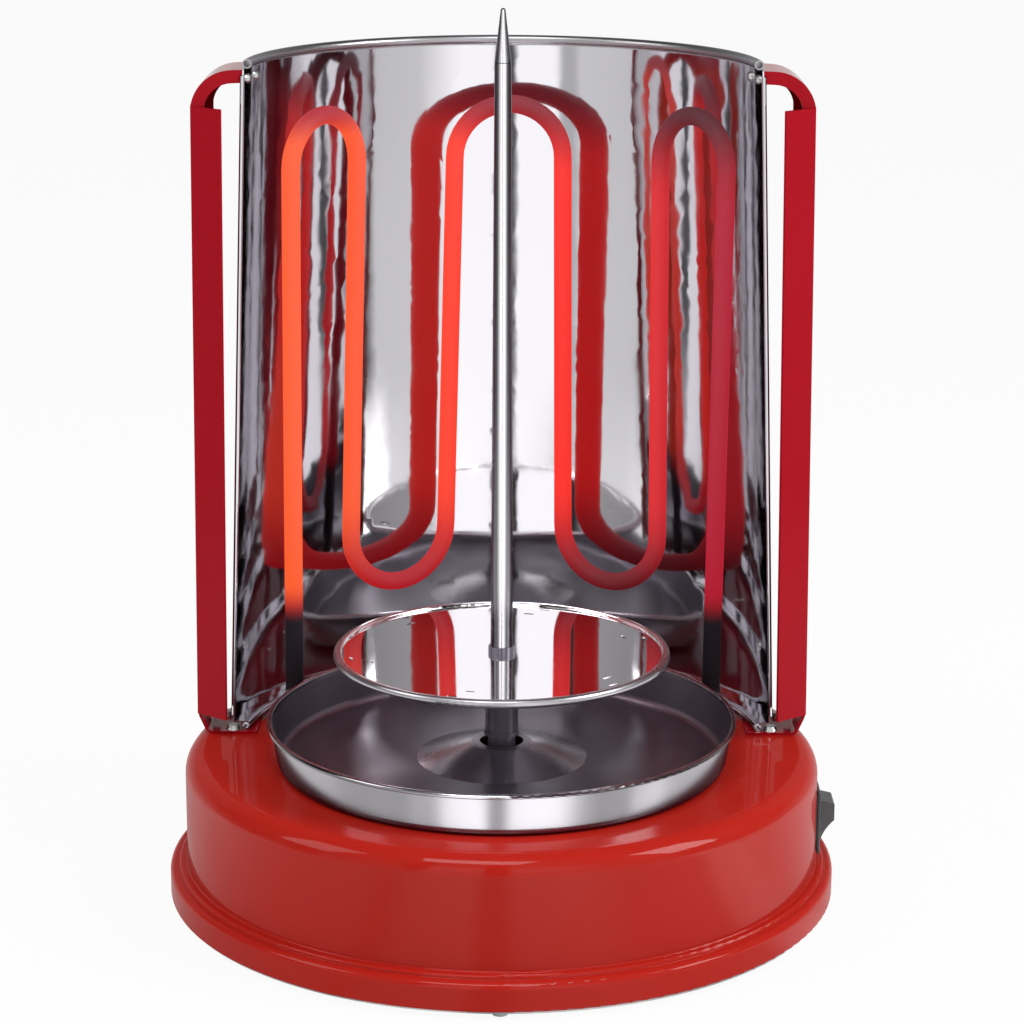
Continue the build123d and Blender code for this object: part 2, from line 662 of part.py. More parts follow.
# ---------------------------------------------------------------- reflector
wall_inside = wall_body(-REFLECTOR_T, WALL_LOW_Z + REFLECTOR_T, HIGH_BEAD_Z + BEAD_R)
low_bead_pr = LOW_R - LOW_BEAD_IN
high_bead_pr = HIGH_R - BEAD_R + BEAD_PROUD
front_rise = Vector(0, FRONT_HIGH_Y - FRONT_LOW_Y, HIGH_BEAD_Z - LOW_BEAD_Z)
front_plane = Plane(origin=(0, FRONT_LOW_Y, LOW_BEAD_Z), x_dir=(1, 0, 0), z_dir=Vector(1, 0, 0).cross(front_rise))
front_low_x = sqrt(LOW_R**2 - (FRONT_LOW_Y - LOW_Y) ** 2)
front_high_x = sqrt(HIGH_R**2 - (FRONT_HIGH_Y - HIGH_Y) ** 2)
hem_low = Vector(front_low_x, FRONT_LOW_Y, LOW_BEAD_Z)
hem_high = Vector(front_high_x, FRONT_HIGH_Y, HIGH_BEAD_Z)
hem_run = (hem_high - hem_low).normalized()
hem_len = (hem_high - hem_low).length - 2 * HEM_SHORT
low_turn = degrees(asin((FRONT_LOW_Y - LOW_Y) / low_bead_pr))
high_turn = degrees(asin((FRONT_HIGH_Y - HIGH_Y) / high_bead_pr))
bead_ends = (
    (low_bead_pr, LOW_Y, LOW_BEAD_Z, low_turn),
    (high_bead_pr, HIGH_Y, HIGH_BEAD_Z, high_turn),
)
with BuildPart() as reflector:
    add(wall_body(0.0, WALL_LOW_Z, HIGH_BEAD_Z))
    add(wall_inside, mode=Mode.SUBTRACT)
    # the wall is turned inwards at its foot, down to the lower bead
    with Locations(Location((0, LOW_Y, WALL_LOW_Z), (0, 0, -90))):
        Cylinder(low_bead_pr, 4 * REFLECTOR_T, mode=Mode.SUBTRACT)
    with Locations((0, LOW_Y, LOW_BEAD_Z)):
        Torus(low_bead_pr, BEAD_R, rotation=(0, 0, -90))
    with Locations((0, HIGH_Y, HIGH_BEAD_Z)):
        Torus(high_bead_pr, BEAD_R, rotation=(0, 0, -90))
    split(bisect_by=front_plane, keep=Keep.BOTTOM)
    # open ends of the two rolled beads
    for ring_r, ring_y, z, turn in bead_ends:
        east, north = polar(1.0, turn)
        for side in (-1, 1):
            end = (side * ring_r * east, ring_y + ring_r * north, z)
            with Locations(Plane(origin=end, z_dir=(-side * north, east, 0))):
                Cylinder(BEAD_BORE_R, 2 * BEAD_BORE_L, mode=Mode.SUBTRACT)
    # rivet holes, right and left
    for spot in rivet_planes:
        with Locations(spot):
            Cylinder(RIVET_R + FIT, 8 * REFLECTOR_T, mode=Mode.SUBTRACT)
        with Locations(mirrored_plane(spot)):
            Cylinder(RIVET_R + FIT, 8 * REFLECTOR_T, mode=Mode.SUBTRACT)
    # folded front edges
    hem_plane = Plane(origin=hem_low + hem_run * HEM_SHORT, z_dir=hem_run)
    with BuildSketch(hem_plane):
        Circle(HEM_R)
    extrude(amount=hem_len)
    left_hem_run = Vector(-hem_run.X, hem_run.Y, hem_run.Z)
    left_hem_low = Vector(-hem_low.X, hem_low.Y, hem_low.Z)
    with BuildSketch(Plane(origin=left_hem_low + left_hem_run * HEM_SHORT, z_dir=left_hem_run)):
        Circle(HEM_R)
    extrude(amount=hem_len)
reflector.part.label = "reflector"
export_step(reflector.part, "parts/reflector.step")

# ---------------------------------------------------------------- handles
grip_rise = Vector(GRIP_HIGH_X - GRIP_LOW_X, 0, GRIP_HIGH_Z - GRIP_LOW_Z)
strap_points = (
    (HIGH_R - NECK_RUN_IN, NECK_END_Z),
    (NECK_X, NECK_Z),
    (GRIP_HIGH_X, GRIP_HIGH_Z),
    (GRIP_LOW_X, GRIP_LOW_Z),
    (HANDLE_FOOT_X, TOP_Z),
    (HANDLE_FOOT_X - HANDLE_FOOT_L, TOP_Z),
)
strap_depth = STRAP_BACK_Y - STRAP_FRONT_Y
strap_plane = Plane.XZ.offset(-STRAP_BACK_Y)
neck_front_plane = Plane.XZ.offset(-STRAP_FRONT_Y)
tab_top = NECK_END_Z - STRAP_T / 2

# tab that lies against the reflector's outside, under its bead
with BuildPart() as handle_tab:
    add(wall_body(TAB_T))
    with Locations((HIGH_R, (STRAP_FRONT_Y + STRAP_BACK_Y) / 2, tab_top)):
        Box(
            4 * NECK_RUN_IN,
            strap_depth,
            TAB_H,
            align=(Align.CENTER, Align.CENTER, Align.MAX),
            mode=Mode.INTERSECT,
        )

front_len = hypot(FRONT_FLANGE_W, FRONT_FLANGE_RUN)
flange_back = STRAP_T * FRONT_FLANGE_W / front_len
flange_in = STRAP_T * FRONT_FLANGE_RUN / front_len
with BuildPart() as handle_right:
    with BuildSketch(strap_plane):
        with BuildLine():
            strap_line = FilletPolyline(*strap_points, radius=(NECK_BEND, KNEE_BEND, KNEE_BEND, FOOT_BEND))
            offset(strap_line, amount=STRAP_T, side=Side.RIGHT)
        make_face()
    extrude(amount=strap_depth)
    # stiffening flange along the back of neck and grip
    with BuildSketch(strap_plane):
        with BuildLine():
            rear_line = FilletPolyline(*strap_points[:4], radius=(NECK_BEND, KNEE_BEND))
            offset(rear_line, amount=REAR_FLANGE_W, side=Side.RIGHT)
        make_face()
    extrude(amount=STRAP_T)
    # narrow flange along the front of the neck
    with BuildSketch(neck_front_plane):
        with BuildLine():
            neck_line = FilletPolyline(*strap_points[:3], radius=NECK_BEND)
            offset(neck_line, amount=NECK_FLANGE_W, side=Side.RIGHT)
        make_face()
    extrude(amount=-STRAP_T)
    # broad front face of the grip, turned inwards and forwards
    with BuildSketch(Plane.XY.offset(GRIP_LOW_Z)):
        with BuildLine():
            Polyline(
                (GRIP_LOW_X, STRAP_FRONT_Y),
                (GRIP_LOW_X - FRONT_FLANGE_W, STRAP_FRONT_Y - FRONT_FLANGE_RUN),
                (GRIP_LOW_X - FRONT_FLANGE_W - flange_in, STRAP_FRONT_Y - FRONT_FLANGE_RUN + flange_back),
                (GRIP_LOW_X - STRAP_T, STRAP_FRONT_Y + STRAP_T),
                (GRIP_LOW_X, STRAP_FRONT_Y + STRAP_T),
                close=True,
            )
        make_face()
    extrude(amount=grip_rise.length, dir=grip_rise)
    add(handle_tab.part)
    add(wall_body(FIT), mode=Mode.SUBTRACT)
    # room for the reflector's folded front edge
    with BuildSketch(hem_plane):
        Circle(HEM_R + GAP)
    extrude(amount=hem_len + GAP, mode=Mode.SUBTRACT)
    for spot in rivet_planes[1:]:
        with Locations(spot):
            Cylinder(RIVET_R + FIT, 8 * TAB_T, mode=Mode.SUBTRACT)
    with Locations(*[(x, y, TOP_Z + STRAP_T) for x, y in handle_screws_right]):
        Hole(HANDLE_SCREW_R + FIT, depth=2 * STRAP_T)
handle_right.part.label = "handle_right"
export_step(handle_right.part, "parts/handle_right.step")

with BuildPart() as handle_left:
    mirror(handle_right.part, about=Plane.YZ)
handle_left.part.label = "handle_left"
export_step(handle_left.part, "parts/handle_left.step")

with BuildPart() as handle_screws:
    with Locations(*[(x, y, TOP_Z + STRAP_T) for x, y in handle_screw_places]):
        Cylinder(HANDLE_SCREW_R, SCREW_L, align=(Align.CENTER, Align.CENTER, Align.MAX))
        Cone(HEAD_R, HEAD_R * 0.72, HEAD_H, align=(Align.CENTER, Align.CENTER, Align.MIN))
handle_screws.part.label = "handle_screws"
export_step(handle_screws.part, "parts/handle_screws.step")

# ---------------------------------------------------------------- rear clips and rivets
with BuildPart() as rear_clips:
    add(wall_body(CLIP_T, TOP_Z - 1, TOP_Z + CLIP_H + 1))
    with Locations(Location((clip_x, clip_y, TOP_Z), (0, 0, clip_bearing))):
        Box(8 * CLIP_T, CLIP_W, CLIP_H, align=(Align.CENTER, Align.CENTER, Align.MIN), mode=Mode.INTERSECT)
        Box(CLIP_L, CLIP_W, CLIP_T, align=(Align.MIN, Align.CENTER, Align.MIN))
    add(wall_body(FIT, TOP_Z - 1, TOP_Z + CLIP_H + 1), mode=Mode.SUBTRACT)
    with Locations(rivet_planes[0]):
        Cylinder(RIVET_R + FIT, 8 * CLIP_T, mode=Mode.SUBTRACT)
    with Locations((clip_screw_x, clip_screw_y, TOP_Z + CLIP_T)):
        Hole(HANDLE_SCREW_R + FIT, depth=2 * CLIP_T)
    mirror(about=Plane.YZ)
rear_clips.part.label = "rear_clips"
export_step(rear_clips.part, "parts/rear_clips.step")

with BuildPart() as clip_screws:
    with Locations(*[(x, y, TOP_Z + CLIP_T) for x, y in clip_screw_places]):
        Cylinder(HANDLE_SCREW_R, SCREW_L, align=(Align.CENTER, Align.CENTER, Align.MAX))
        Cone(HEAD_R, HEAD_R * 0.72, HEAD_H, align=(Align.CENTER, Align.CENTER, Align.MIN))
clip_screws.part.label = "clip_screws"
export_step(clip_screws.part, "parts/clip_screws.step")

# blind rivets: head outside, set head inside the reflector
with BuildPart() as reflector_rivets:
    for spot, grip_t in zip(rivet_planes, (CLIP_T, TAB_T, TAB_T)):
        inner_end = REFLECTOR_T + RIVET_HEAD_H
        with Locations(spot.offset(grip_t)):
            Cylinder(RIVET_HEAD_R, RIVET_HEAD_H, align=(Align.CENTER, Align.CENTER, Align.MIN))
            Cylinder(RIVET_R, grip_t + inner_end, align=(Align.CENTER, Align.CENTER, Align.MAX))
        with Locations(spot.offset(-REFLECTOR_T - FIT)):
            Cone(
                RIVET_R * 0.9,
                RIVET_R * 1.3,
                RIVET_HEAD_H - FIT,
                align=(Align.CENTER, Align.CENTER, Align.MAX),
            )
    mirror(about=Plane.YZ)
reflector_rivets.part.label = "reflector_rivets"
export_step(reflector_rivets.part, "parts/reflector_rivets.step")

# ---------------------------------------------------------------- heater
low_turn_z = LOWER_BEND_Z + BEND_R
high_turn_z = UPPER_BEND_Z - BEND_R
with BuildPart() as heating_element:
    with BuildLine() as serpentine:
        for index, step in enumerate(LEG_STEPS):
            x, y = leg_xy(step)
            outermost = index in (0, len(LEG_STEPS) - 1)
            Line((x, y, HEATER_BOTTOM if outermost else low_turn_z), (x, y, high_turn_z))
            if index < len(LEG_STEPS) - 1:
                next_x, next_y = leg_xy(LEG_STEPS[index + 1])
                turn_z, crest_z = (high_turn_z, UPPER_BEND_Z) if index % 2 == 0 else (low_turn_z, LOWER_BEND_Z)
                crest = ((x + next_x) / 2, (y + next_y) / 2, crest_z)
                ThreePointArc((x, y, turn_z), crest, (next_x, next_y, turn_z))
    with BuildSketch(Plane.XY.offset(HEATER_BOTTOM)):
        with Locations(LEFT_LEG):
            Circle(HEATER_R)
    sweep(path=serpentine.wire())
    with Locations((*LEFT_LEG, HEATER_BOTTOM), (*RIGHT_LEG, HEATER_BOTTOM)):
        Cylinder(PIN_R + FIT, 2 * PIN_ROOT, mode=Mode.SUBTRACT)
heating_element.part.label = "heating_element"
export_step(heating_element.part, "parts/heating_element.step")

with BuildPart() as heater_bushes:
    with Locations((*LEFT_LEG, TOP_Z), (*RIGHT_LEG, TOP_Z)):
        Cylinder(HEATER_BUSH_R, HEATER_BUSH_H, align=(Align.CENTER, Align.CENTER, Align.MIN))
        Cylinder(HEATER_THREAD_R, HEATER_THREAD_L, align=(Align.CENTER, Align.CENTER, Align.MAX))
        Cylinder(HEATER_R + FIT, 4 * HEATER_THREAD_L, mode=Mode.SUBTRACT)
heater_bushes.part.label = "heater_bushes"
export_step(heater_bushes.part, "parts/heater_bushes.step")

with BuildPart() as heater_nuts:
    with BuildSketch(Plane.XY.offset(CEILING)):
        with Locations(LEFT_LEG, RIGHT_LEG):
            RegularPolygon(HEATER_NUT_AF / 2, 6, major_radius=False)
            Circle(HEATER_THREAD_R + FIT, mode=Mode.SUBTRACT)
    extrude(amount=-HEATER_NUT_H)
heater_nuts.part.label = "heater_nuts"
export_step(heater_nuts.part, "parts/heater_nuts.step")

with BuildPart() as heater_seals:
    with BuildSketch(Plane.XY.offset(HEATER_BOTTOM)):
        with Locations(LEFT_LEG, RIGHT_LEG):
            Circle(HEATER_R)
            Circle(PIN_R + FIT, mode=Mode.SUBTRACT)
    extrude(amount=-SEAL_H)
heater_seals.part.label = "heater_seals"
export_step(heater_seals.part, "parts/heater_seals.step")

spade_top = HEATER_BOTTOM - SEAL_H - PIN_NECK
with BuildPart() as heater_terminals:
    with BuildSketch(Plane.XY.offset(HEATER_BOTTOM + PIN_ROOT)):
        with Locations(LEFT_LEG, RIGHT_LEG):
            Circle(PIN_R)
    extrude(amount=spade_top - HEATER_BOTTOM - PIN_ROOT)
    with BuildSketch(Plane.XY.offset(spade_top)):
        with Locations(LEFT_LEG, RIGHT_LEG):
            Rectangle(SPADE_W, SPADE_T)
    extrude(amount=-SPADE_L)
heater_terminals.part.label = "heater_terminals"
export_step(heater_terminals.part, "parts/heater_terminals.step")

# ---------------------------------------------------------------- switch
switch_back = WALL_R - SWITCH_BODY_L
spade_spots = [(switch_back, SWITCH_Y, SWITCH_Z + offset_z) for offset_z in (TAB_PITCH, -TAB_PITCH)]
with BuildPart() as switch_frame:
    with Locations((WALL_R, SWITCH_Y, SWITCH_Z)):
        Box(SWITCH_BODY_L, SWITCH_BODY_W, SWITCH_BODY_H, align=(Align.MAX, Align.CENTER, Align.CENTER))
        Box(BEZEL_T, BEZEL_W, BEZEL_H, align=(Align.MIN, Align.CENTER, Align.CENTER))
    fillet(switch_frame.edges().group_by(Axis.X)[-1], 0.6)
    with Locations((BEZEL_X, SWITCH_Y, SWITCH_Z)):
        Box(POCKET_L, POCKET_W, POCKET_H, align=(Align.MAX, Align.CENTER, Align.CENTER), mode=Mode.SUBTRACT)
    with Locations(Plane(origin=(PIVOT_X, SWITCH_Y, SWITCH_Z), z_dir=(0, 1, 0))):
        Cylinder(PIVOT_PIN_R + FIT, POCKET_W + 2 * PIVOT_PIN_L + 2 * FIT, mode=Mode.SUBTRACT)
    with Locations(*spade_spots):
        Box(2 * SPADE_ROOT, SPADE_W + 2 * FIT, SPADE_T + 2 * FIT, mode=Mode.SUBTRACT)
switch_frame.part.label = "switch_frame"
export_step(switch_frame.part, "parts/switch_frame.step")


def from_pivot(radius, angle):
    east, up = polar(radius, angle)
    return PIVOT_X + east, SWITCH_Z + up


lower_r = ROCKER_R - 0.2
back_turn = degrees(asin(ROCKER_BACK / ROCKER_R))
face_x = BEZEL_X + ROCKER_PROUD
with BuildPart() as switch_rocker:
    with BuildSketch(Plane.XZ.offset(-SWITCH_Y)):
        with BuildLine():
            Line(from_pivot(ROCKER_R, 67), (face_x, SWITCH_Z + 8.2))
            Line((face_x, SWITCH_Z + 8.2), (face_x, SWITCH_Z + 0.5))
            ThreePointArc((face_x, SWITCH_Z + 0.5), (face_x - 3.8, SWITCH_Z - 4.0), from_pivot(lower_r, -66))
            ThreePointArc(from_pivot(lower_r, -66), from_pivot(lower_r, -80), from_pivot(lower_r, -90 - back_turn))
            Line(from_pivot(lower_r, -90 - back_turn), from_pivot(ROCKER_R, 90 + back_turn))
            ThreePointArc(from_pivot(ROCKER_R, 90 + back_turn), from_pivot(ROCKER_R, 80), from_pivot(ROCKER_R, 67))
        make_face()
    extrude(amount=ROCKER_W / 2, both=True)
    fillet(switch_rocker.edges().filter_by(Axis.Y).group_by(Axis.X)[-1], 0.8)
    with Locations(Plane(origin=(PIVOT_X, SWITCH_Y, SWITCH_Z), z_dir=(0, 1, 0))):
        Cylinder(PIVOT_PIN_R, POCKET_W + 2 * PIVOT_PIN_L)
switch_rocker.part.label = "switch_rocker"
export_step(switch_rocker.part, "parts/switch_rocker.step")

with BuildPart() as switch_terminals:
    with Locations(*[(x - SPADE_L, y, z) for x, y, z in spade_spots]):
        Box(SPADE_L + SPADE_ROOT, SPADE_W, SPADE_T, align=(Align.MIN, Align.CENTER, Align.CENTER))
switch_terminals.part.label = "switch_terminals"
export_step(switch_terminals.part, "parts/switch_terminals.step")

# ---------------------------------------------------------------- cord inlet and terminal block
inlet_plane = Plane(origin=(0, WALL_R, INLET_Z), z_dir=(0, 1, 0))
with BuildPart() as cord_inlet:
    with Locations(inlet_plane):
        Cylinder(INLET_FLANGE_R, INLET_FLANGE_T, align=(Align.CENTER, Align.CENTER, Align.MIN))
        Cylinder(INLET_R, INLET_L, align=(Align.CENTER, Align.CENTER, Align.MAX))
    fillet(cord_inlet.edges().group_by(Axis.Y)[-1], 1.2)
    with Locations(inlet_plane.offset(-2 * SHEET)):
        Cylinder(INLET_FLANGE_R - 1, INLET_L - 3 * SHEET, align=(Align.CENTER, Align.CENTER, Align.MAX))
    with Locations(inlet_plane):
        Cylinder(INLET_BORE_R, 6 * INLET_L, mode=Mode.SUBTRACT)
cord_inlet.part.label = "cord_inlet"
export_step(cord_inlet.part, "parts/cord_inlet.step")

block_w, block_d, block_h = BLOCK_SIZE
way_xs = [(way - (BLOCK_WAYS - 1) / 2) * BLOCK_PITCH for way in range(BLOCK_WAYS)]
block_z = CEILING - block_h / 2
with BuildPart() as terminal_block:
    with Locations((0, BLOCK_Y, block_z)):
        Box(block_w, block_d, block_h)
    with Locations(*[(x, BLOCK_Y + side * block_d / 2, block_z) for x in way_xs for side in (-1, 1)]):
        Cylinder(BLOCK_BORE_R, 2 * BLOCK_BORE_L, rotation=(90, 0, 0), mode=Mode.SUBTRACT)
    with Locations((-BLOCK_PITCH / 2, BLOCK_Y, block_z), (BLOCK_PITCH / 2, BLOCK_Y, block_z)):
        Cylinder(BLOCK_SCREW_R + FIT, block_h, mode=Mode.SUBTRACT)
terminal_block.part.label = "terminal_block"
export_step(terminal_block.part, "parts/terminal_block.step")

block_floor = CEILING - block_h
with BuildPart() as block_screws:
    with Locations((-BLOCK_PITCH / 2, BLOCK_Y, block_floor), (BLOCK_PITCH / 2, BLOCK_Y, block_floor)):
        Cylinder(BLOCK_SCREW_R, block_h + SHEET, align=(Align.CENTER, Align.CENTER, Align.MIN))
        Cylinder(HEAD_R - 0.6, HEAD_H, align=(Align.CENTER, Align.CENTER, Align.MAX))
block_screws.part.label = "block_screws"
export_step(block_screws.part, "parts/block_screws.step")

with BuildPart() as earth_screw:
    with Locations((-EARTH_X, BLOCK_Y, CEILING - EARTH_RING_T)):
        Cylinder(BLOCK_SCREW_R, EARTH_RING_T + SHEET, align=(Align.CENTER, Align.CENTER, Align.MIN))
        Cylinder(HEAD_R, HEAD_H, align=(Align.CENTER, Align.CENTER, Align.MAX))
earth_screw.part.label = "earth_screw"
export_step(earth_screw.part, "parts/earth_screw.step")

# ---------------------------------------------------------------- wires
block_front = BLOCK_Y - block_d / 2
wire_in = block_front + BLOCK_BORE_L - 1
heater_crimp_z = spade_top - SPADE_L - CRIMP_FLOOR
switch_crimp_x = switch_back - SPADE_L - CRIMP_FLOOR
right_x, right_y = RIGHT_LEG
crimp_side = right_x - CRIMP_W / 2
lead_z = heater_crimp_z + CRIMP_L / 2
can_x, can_y = polar(MOTOR_R, 45)
with BuildPart() as live_wires:
    for offset_z in (TAB_PITCH, -TAB_PITCH):
        wire_end = (switch_crimp_x, SWITCH_Y, SWITCH_Z + offset_z)
        add(receptacle(Plane(origin=wire_end, x_dir=(0, 1, 0), z_dir=(1, 0, 0))))
    add(receptacle(Plane((right_x, right_y, heater_crimp_z))))
    add(
        wire_run(
            (
                (way_xs[-1], wire_in, block_z),
                (way_xs[-1], block_front - WIRE_LANES[0], block_z),
                (switch_crimp_x - WIRE_SLOPE, SWITCH_Y, block_z),
                (switch_crimp_x - WIRE_STUB, SWITCH_Y, SWITCH_Z + TAB_PITCH),
                (switch_crimp_x, SWITCH_Y, SWITCH_Z + TAB_PITCH),
            )
        )
    )
    add(
        wire_run(
            (
                (switch_crimp_x, SWITCH_Y, SWITCH_Z - TAB_PITCH),
                (switch_crimp_x - WIRE_STUB, SWITCH_Y, SWITCH_Z - TAB_PITCH),
                (right_x, right_y - WIRE_SWING, WIRE_LOW_Z),
                (right_x, right_y, WIRE_LOW_Z),
                (right_x, right_y, heater_crimp_z),
            )
        )
    )
    add(
        wire_run(
            (
                (crimp_side, right_y, lead_z),
                (2 * can_x + LEAD_STUB, right_y, lead_z),
                (2 * can_x, AXIS_Y + 2 * can_y, lead_z),
                (can_x, AXIS_Y + can_y, lead_z),
            )
        )
    )
live_wires.part.label = "live_wires"
export_step(live_wires.part, "parts/live_wires.step")

with BuildPart() as neutral_wires:
    add(receptacle(Plane((-right_x, right_y, heater_crimp_z))))
    add(
        wire_run(
            (
                (way_xs[1], wire_in, block_z),
                (way_xs[1], block_front - WIRE_LANES[1], block_z),
                (-right_x + WIRE_TURN_IN, block_front - WIRE_LANES[1], (block_z + WIRE_LOW_Z) / 2),
                (-right_x, right_y + WIRE_SWING, WIRE_LOW_Z),
                (-right_x, right_y, WIRE_LOW_Z),
                (-right_x, right_y, heater_crimp_z),
            )
        )
    )
    add(
        wire_run(
            (
                (-crimp_side, right_y, lead_z),
                (-2 * can_x - LEAD_STUB, right_y, lead_z),
                (-2 * can_x, AXIS_Y + 2 * can_y, lead_z),
                (-can_x, AXIS_Y + can_y, lead_z),
            )
        )
    )
neutral_wires.part.label = "neutral_wires"
export_step(neutral_wires.part, "parts/neutral_wires.step")

with BuildPart() as earth_wire:
    with Locations((-EARTH_X, BLOCK_Y, CEILING)):
        Cylinder(EARTH_RING_R, EARTH_RING_T, align=(Align.CENTER, Align.CENTER, Align.MAX))
    add(
        wire_run(
            (
                (way_xs[0], wire_in, block_z),
                (way_xs[0], block_front - WIRE_LANES[2], block_z),
                (-EARTH_X, block_front - WIRE_LANES[2], block_z),
                (-EARTH_X, BLOCK_Y - EARTH_RING_R + 0.5, CEILING - WIRE_R - 0.1),
            )
        )
    )
    with Locations((-EARTH_X, BLOCK_Y, CEILING)):
        Cylinder(BLOCK_SCREW_R + FIT, 8 * SHEET, mode=Mode.SUBTRACT)
earth_wire.part.label = "earth_wire"
export_step(earth_wire.part, "parts/earth_wire.step")
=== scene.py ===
import math

import bmesh
import bpy
from mathutils import Matrix, Vector


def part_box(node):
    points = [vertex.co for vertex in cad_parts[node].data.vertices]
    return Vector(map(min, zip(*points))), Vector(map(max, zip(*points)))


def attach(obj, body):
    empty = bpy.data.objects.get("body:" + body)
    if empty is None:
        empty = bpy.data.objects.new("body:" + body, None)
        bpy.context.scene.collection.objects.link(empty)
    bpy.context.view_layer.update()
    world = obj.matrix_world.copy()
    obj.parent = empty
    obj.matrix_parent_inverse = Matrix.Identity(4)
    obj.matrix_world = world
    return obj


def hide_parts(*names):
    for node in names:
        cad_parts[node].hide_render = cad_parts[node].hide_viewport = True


# Dressing of the electric skewer grill: red lacquer, polished and brushed sheet, a glowing heater
# and small black plastics. Lengths are in metres, +Z is up and the open front faces -Y.

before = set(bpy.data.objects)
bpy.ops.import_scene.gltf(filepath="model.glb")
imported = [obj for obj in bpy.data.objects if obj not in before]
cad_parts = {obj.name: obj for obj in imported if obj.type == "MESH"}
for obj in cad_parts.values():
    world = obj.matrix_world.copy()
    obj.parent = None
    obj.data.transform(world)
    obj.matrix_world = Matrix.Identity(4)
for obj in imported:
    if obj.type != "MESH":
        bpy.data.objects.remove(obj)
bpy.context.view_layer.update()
scene = bpy.context.scene

HOUSING = "housing"       # the body that everything fixed rides on
SPIT_Y = -0.0185          # spit, disc and tray stand in front of the base's centre
BEAD_D = 0.0046           # rolled bead round the reflector's top

DISC_RIM_R = (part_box("meat_disc")[1][0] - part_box("meat_disc")[0][0]) / 2
TRAY_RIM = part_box("drip_tray")[1][2]
BEAD_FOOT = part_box("reflector")[1][2] - BEAD_D

# heater tube
TUBE_R = 0.004
TUBE_SIDES = 28
BEND_STEPS = 20
PIN_BORE_R = 0.0013
PIN_BORE_L = 0.004
BUSH_TOP = 0.068          # the tube stands upright in its bushes up to here
LOW_BEND = 0.1165         # centre line of the lower bends
INNER_LEG = (0.0663, 0.0683)
MIDDLE_LEG = (0.0240, 0.0915)
INNER_REACH = 0.080       # only the outer legs stand further out than this
LEG_SPREAD = 0.017        # inner legs, outwards for their drop
LEAN_RIGHT = 0.0095       # the whole heater, for its rise
LEAN_FORWARD = 0.012

FLOAT, VECTOR = "NodeSocketFloat", "NodeSocketVector"


# ---------------------------------------------------------------- node trees
class Tree:
    """A node tree, with the few steps that every finish and the studio share."""

    def __init__(self, tree):
        self.tree = tree

    def node(self, kind, **settings):
        node = self.tree.nodes.new(kind)
        for label, value in settings.items():
            setattr(node, label, value)
        return node

    def link(self, source, target):
        self.tree.links.new(source, target)

    def feed(self, socket, value):
        """Link a socket to another one, or set it to a number, a colour or a direction."""
        if isinstance(value, bpy.types.NodeSocket):
            self.link(value, socket)
        elif socket.type == "RGBA":
            socket.default_value = (*value, 1.0)
        else:
            socket.default_value = value

    def math(self, operation, *values):
        node = self.node("ShaderNodeMath", operation=operation)
        for socket, value in zip(node.inputs, values):
            self.feed(socket, value)
        return node.outputs["Value"]

    def vector(self, operation, *values, scale=None):
        node = self.node("ShaderNodeVectorMath", operation=operation)
        for socket, value in zip(node.inputs, values):
            self.feed(socket, value)
        if scale is not None:
            self.feed(node.inputs["Scale"], scale)
        return node.outputs["Value" if operation in ("LENGTH", "DOT_PRODUCT") else "Vector"]

    def parts(self, source):
        """X, Y and Z of a place or a direction."""
        node = self.node("ShaderNodeSeparateXYZ")
        self.link(source, node.inputs["Vector"])
        return node.outputs

    def between(self, source, low, high, start, end, kind="SMOOTHSTEP"):
        """Step of a value from start to end, as the source goes from low to high."""
        step = self.node("ShaderNodeMapRange", interpolation_type=kind)
        labels = ("Value", "From Min", "From Max", "To Min", "To Max")
        for label, value in zip(labels, (source, low, high, start, end)):
            self.feed(step.inputs[label], value)
        return step.outputs["Result"]

    def mix(self, data, factor, first, second, **settings):
        node = self.node("ShaderNodeMix", data_type=data, **settings)
        for label, value in (("Factor", factor), ("A", first), ("B", second)):
            self.feed(node.inputs[label], value)
        return node.outputs["Result"]

    def share(self, factor, first, second):
        """Mix of two values by a third."""
        return self.mix("FLOAT", factor, first, second)

    def blend(self, factor, first, second):
        """Mix of two colours by a value."""
        return self.mix("RGBA", factor, first, second)

    def ramp(self, value, stops):
        """Colour that runs through stops of position and colour."""
        node = self.node("ShaderNodeValToRGB")
        elements = node.color_ramp.elements
        for element, (position, colour) in zip(elements, (stops[0], stops[-1])):
            element.position, element.color = position, (*colour, 1.0)
        for position, colour in stops[1:-1]:
            elements.new(position).color = (*colour, 1.0)
        self.link(value, node.inputs["Fac"])
        return node.outputs["Color"]


class Effect(Tree):
    """An effect that several materials share: a node group with named inputs and outputs."""

    def __init__(self, name, inputs, outputs):
        group = bpy.data.node_groups.new(name, "ShaderNodeTree")
        for label, kind, value in inputs:
            socket = group.interface.new_socket(label, in_out="INPUT", socket_type=kind)
            if value is not None:
                socket.default_value = value
        for label, kind in outputs:
            group.interface.new_socket(label, in_out="OUTPUT", socket_type=kind)
        super().__init__(group)
        self.given = self.node("NodeGroupInput").outputs
        self.result = self.node("NodeGroupOutput").inputs


# ---------------------------------------------------------------- shared surface effects
def grain_bump():
    """Fine uneven surface: noise turned into a bump."""
    grain = Effect(
        "grain_bump",
        [
            ("Place", VECTOR, None), ("Scale", FLOAT, 900.0), ("Height", FLOAT, 0.00002),
            ("Detail", FLOAT, 3.0),
        ],
        [("Normal", VECTOR)],
    )
    noise = grain.node("ShaderNodeTexNoise")
    bump = grain.node("ShaderNodeBump")
    bump.inputs["Strength"].default_value = 1.0
    grain.link(grain.given["Place"], noise.inputs["Vector"])
    grain.link(grain.given["Scale"], noise.inputs["Scale"])
    grain.link(grain.given["Detail"], noise.inputs["Detail"])
    grain.link(grain.given["Height"], bump.inputs["Distance"])
    grain.link(noise.outputs["Fac"], bump.inputs["Height"])
    grain.link(bump.outputs["Normal"], grain.result["Normal"])
    return grain.tree


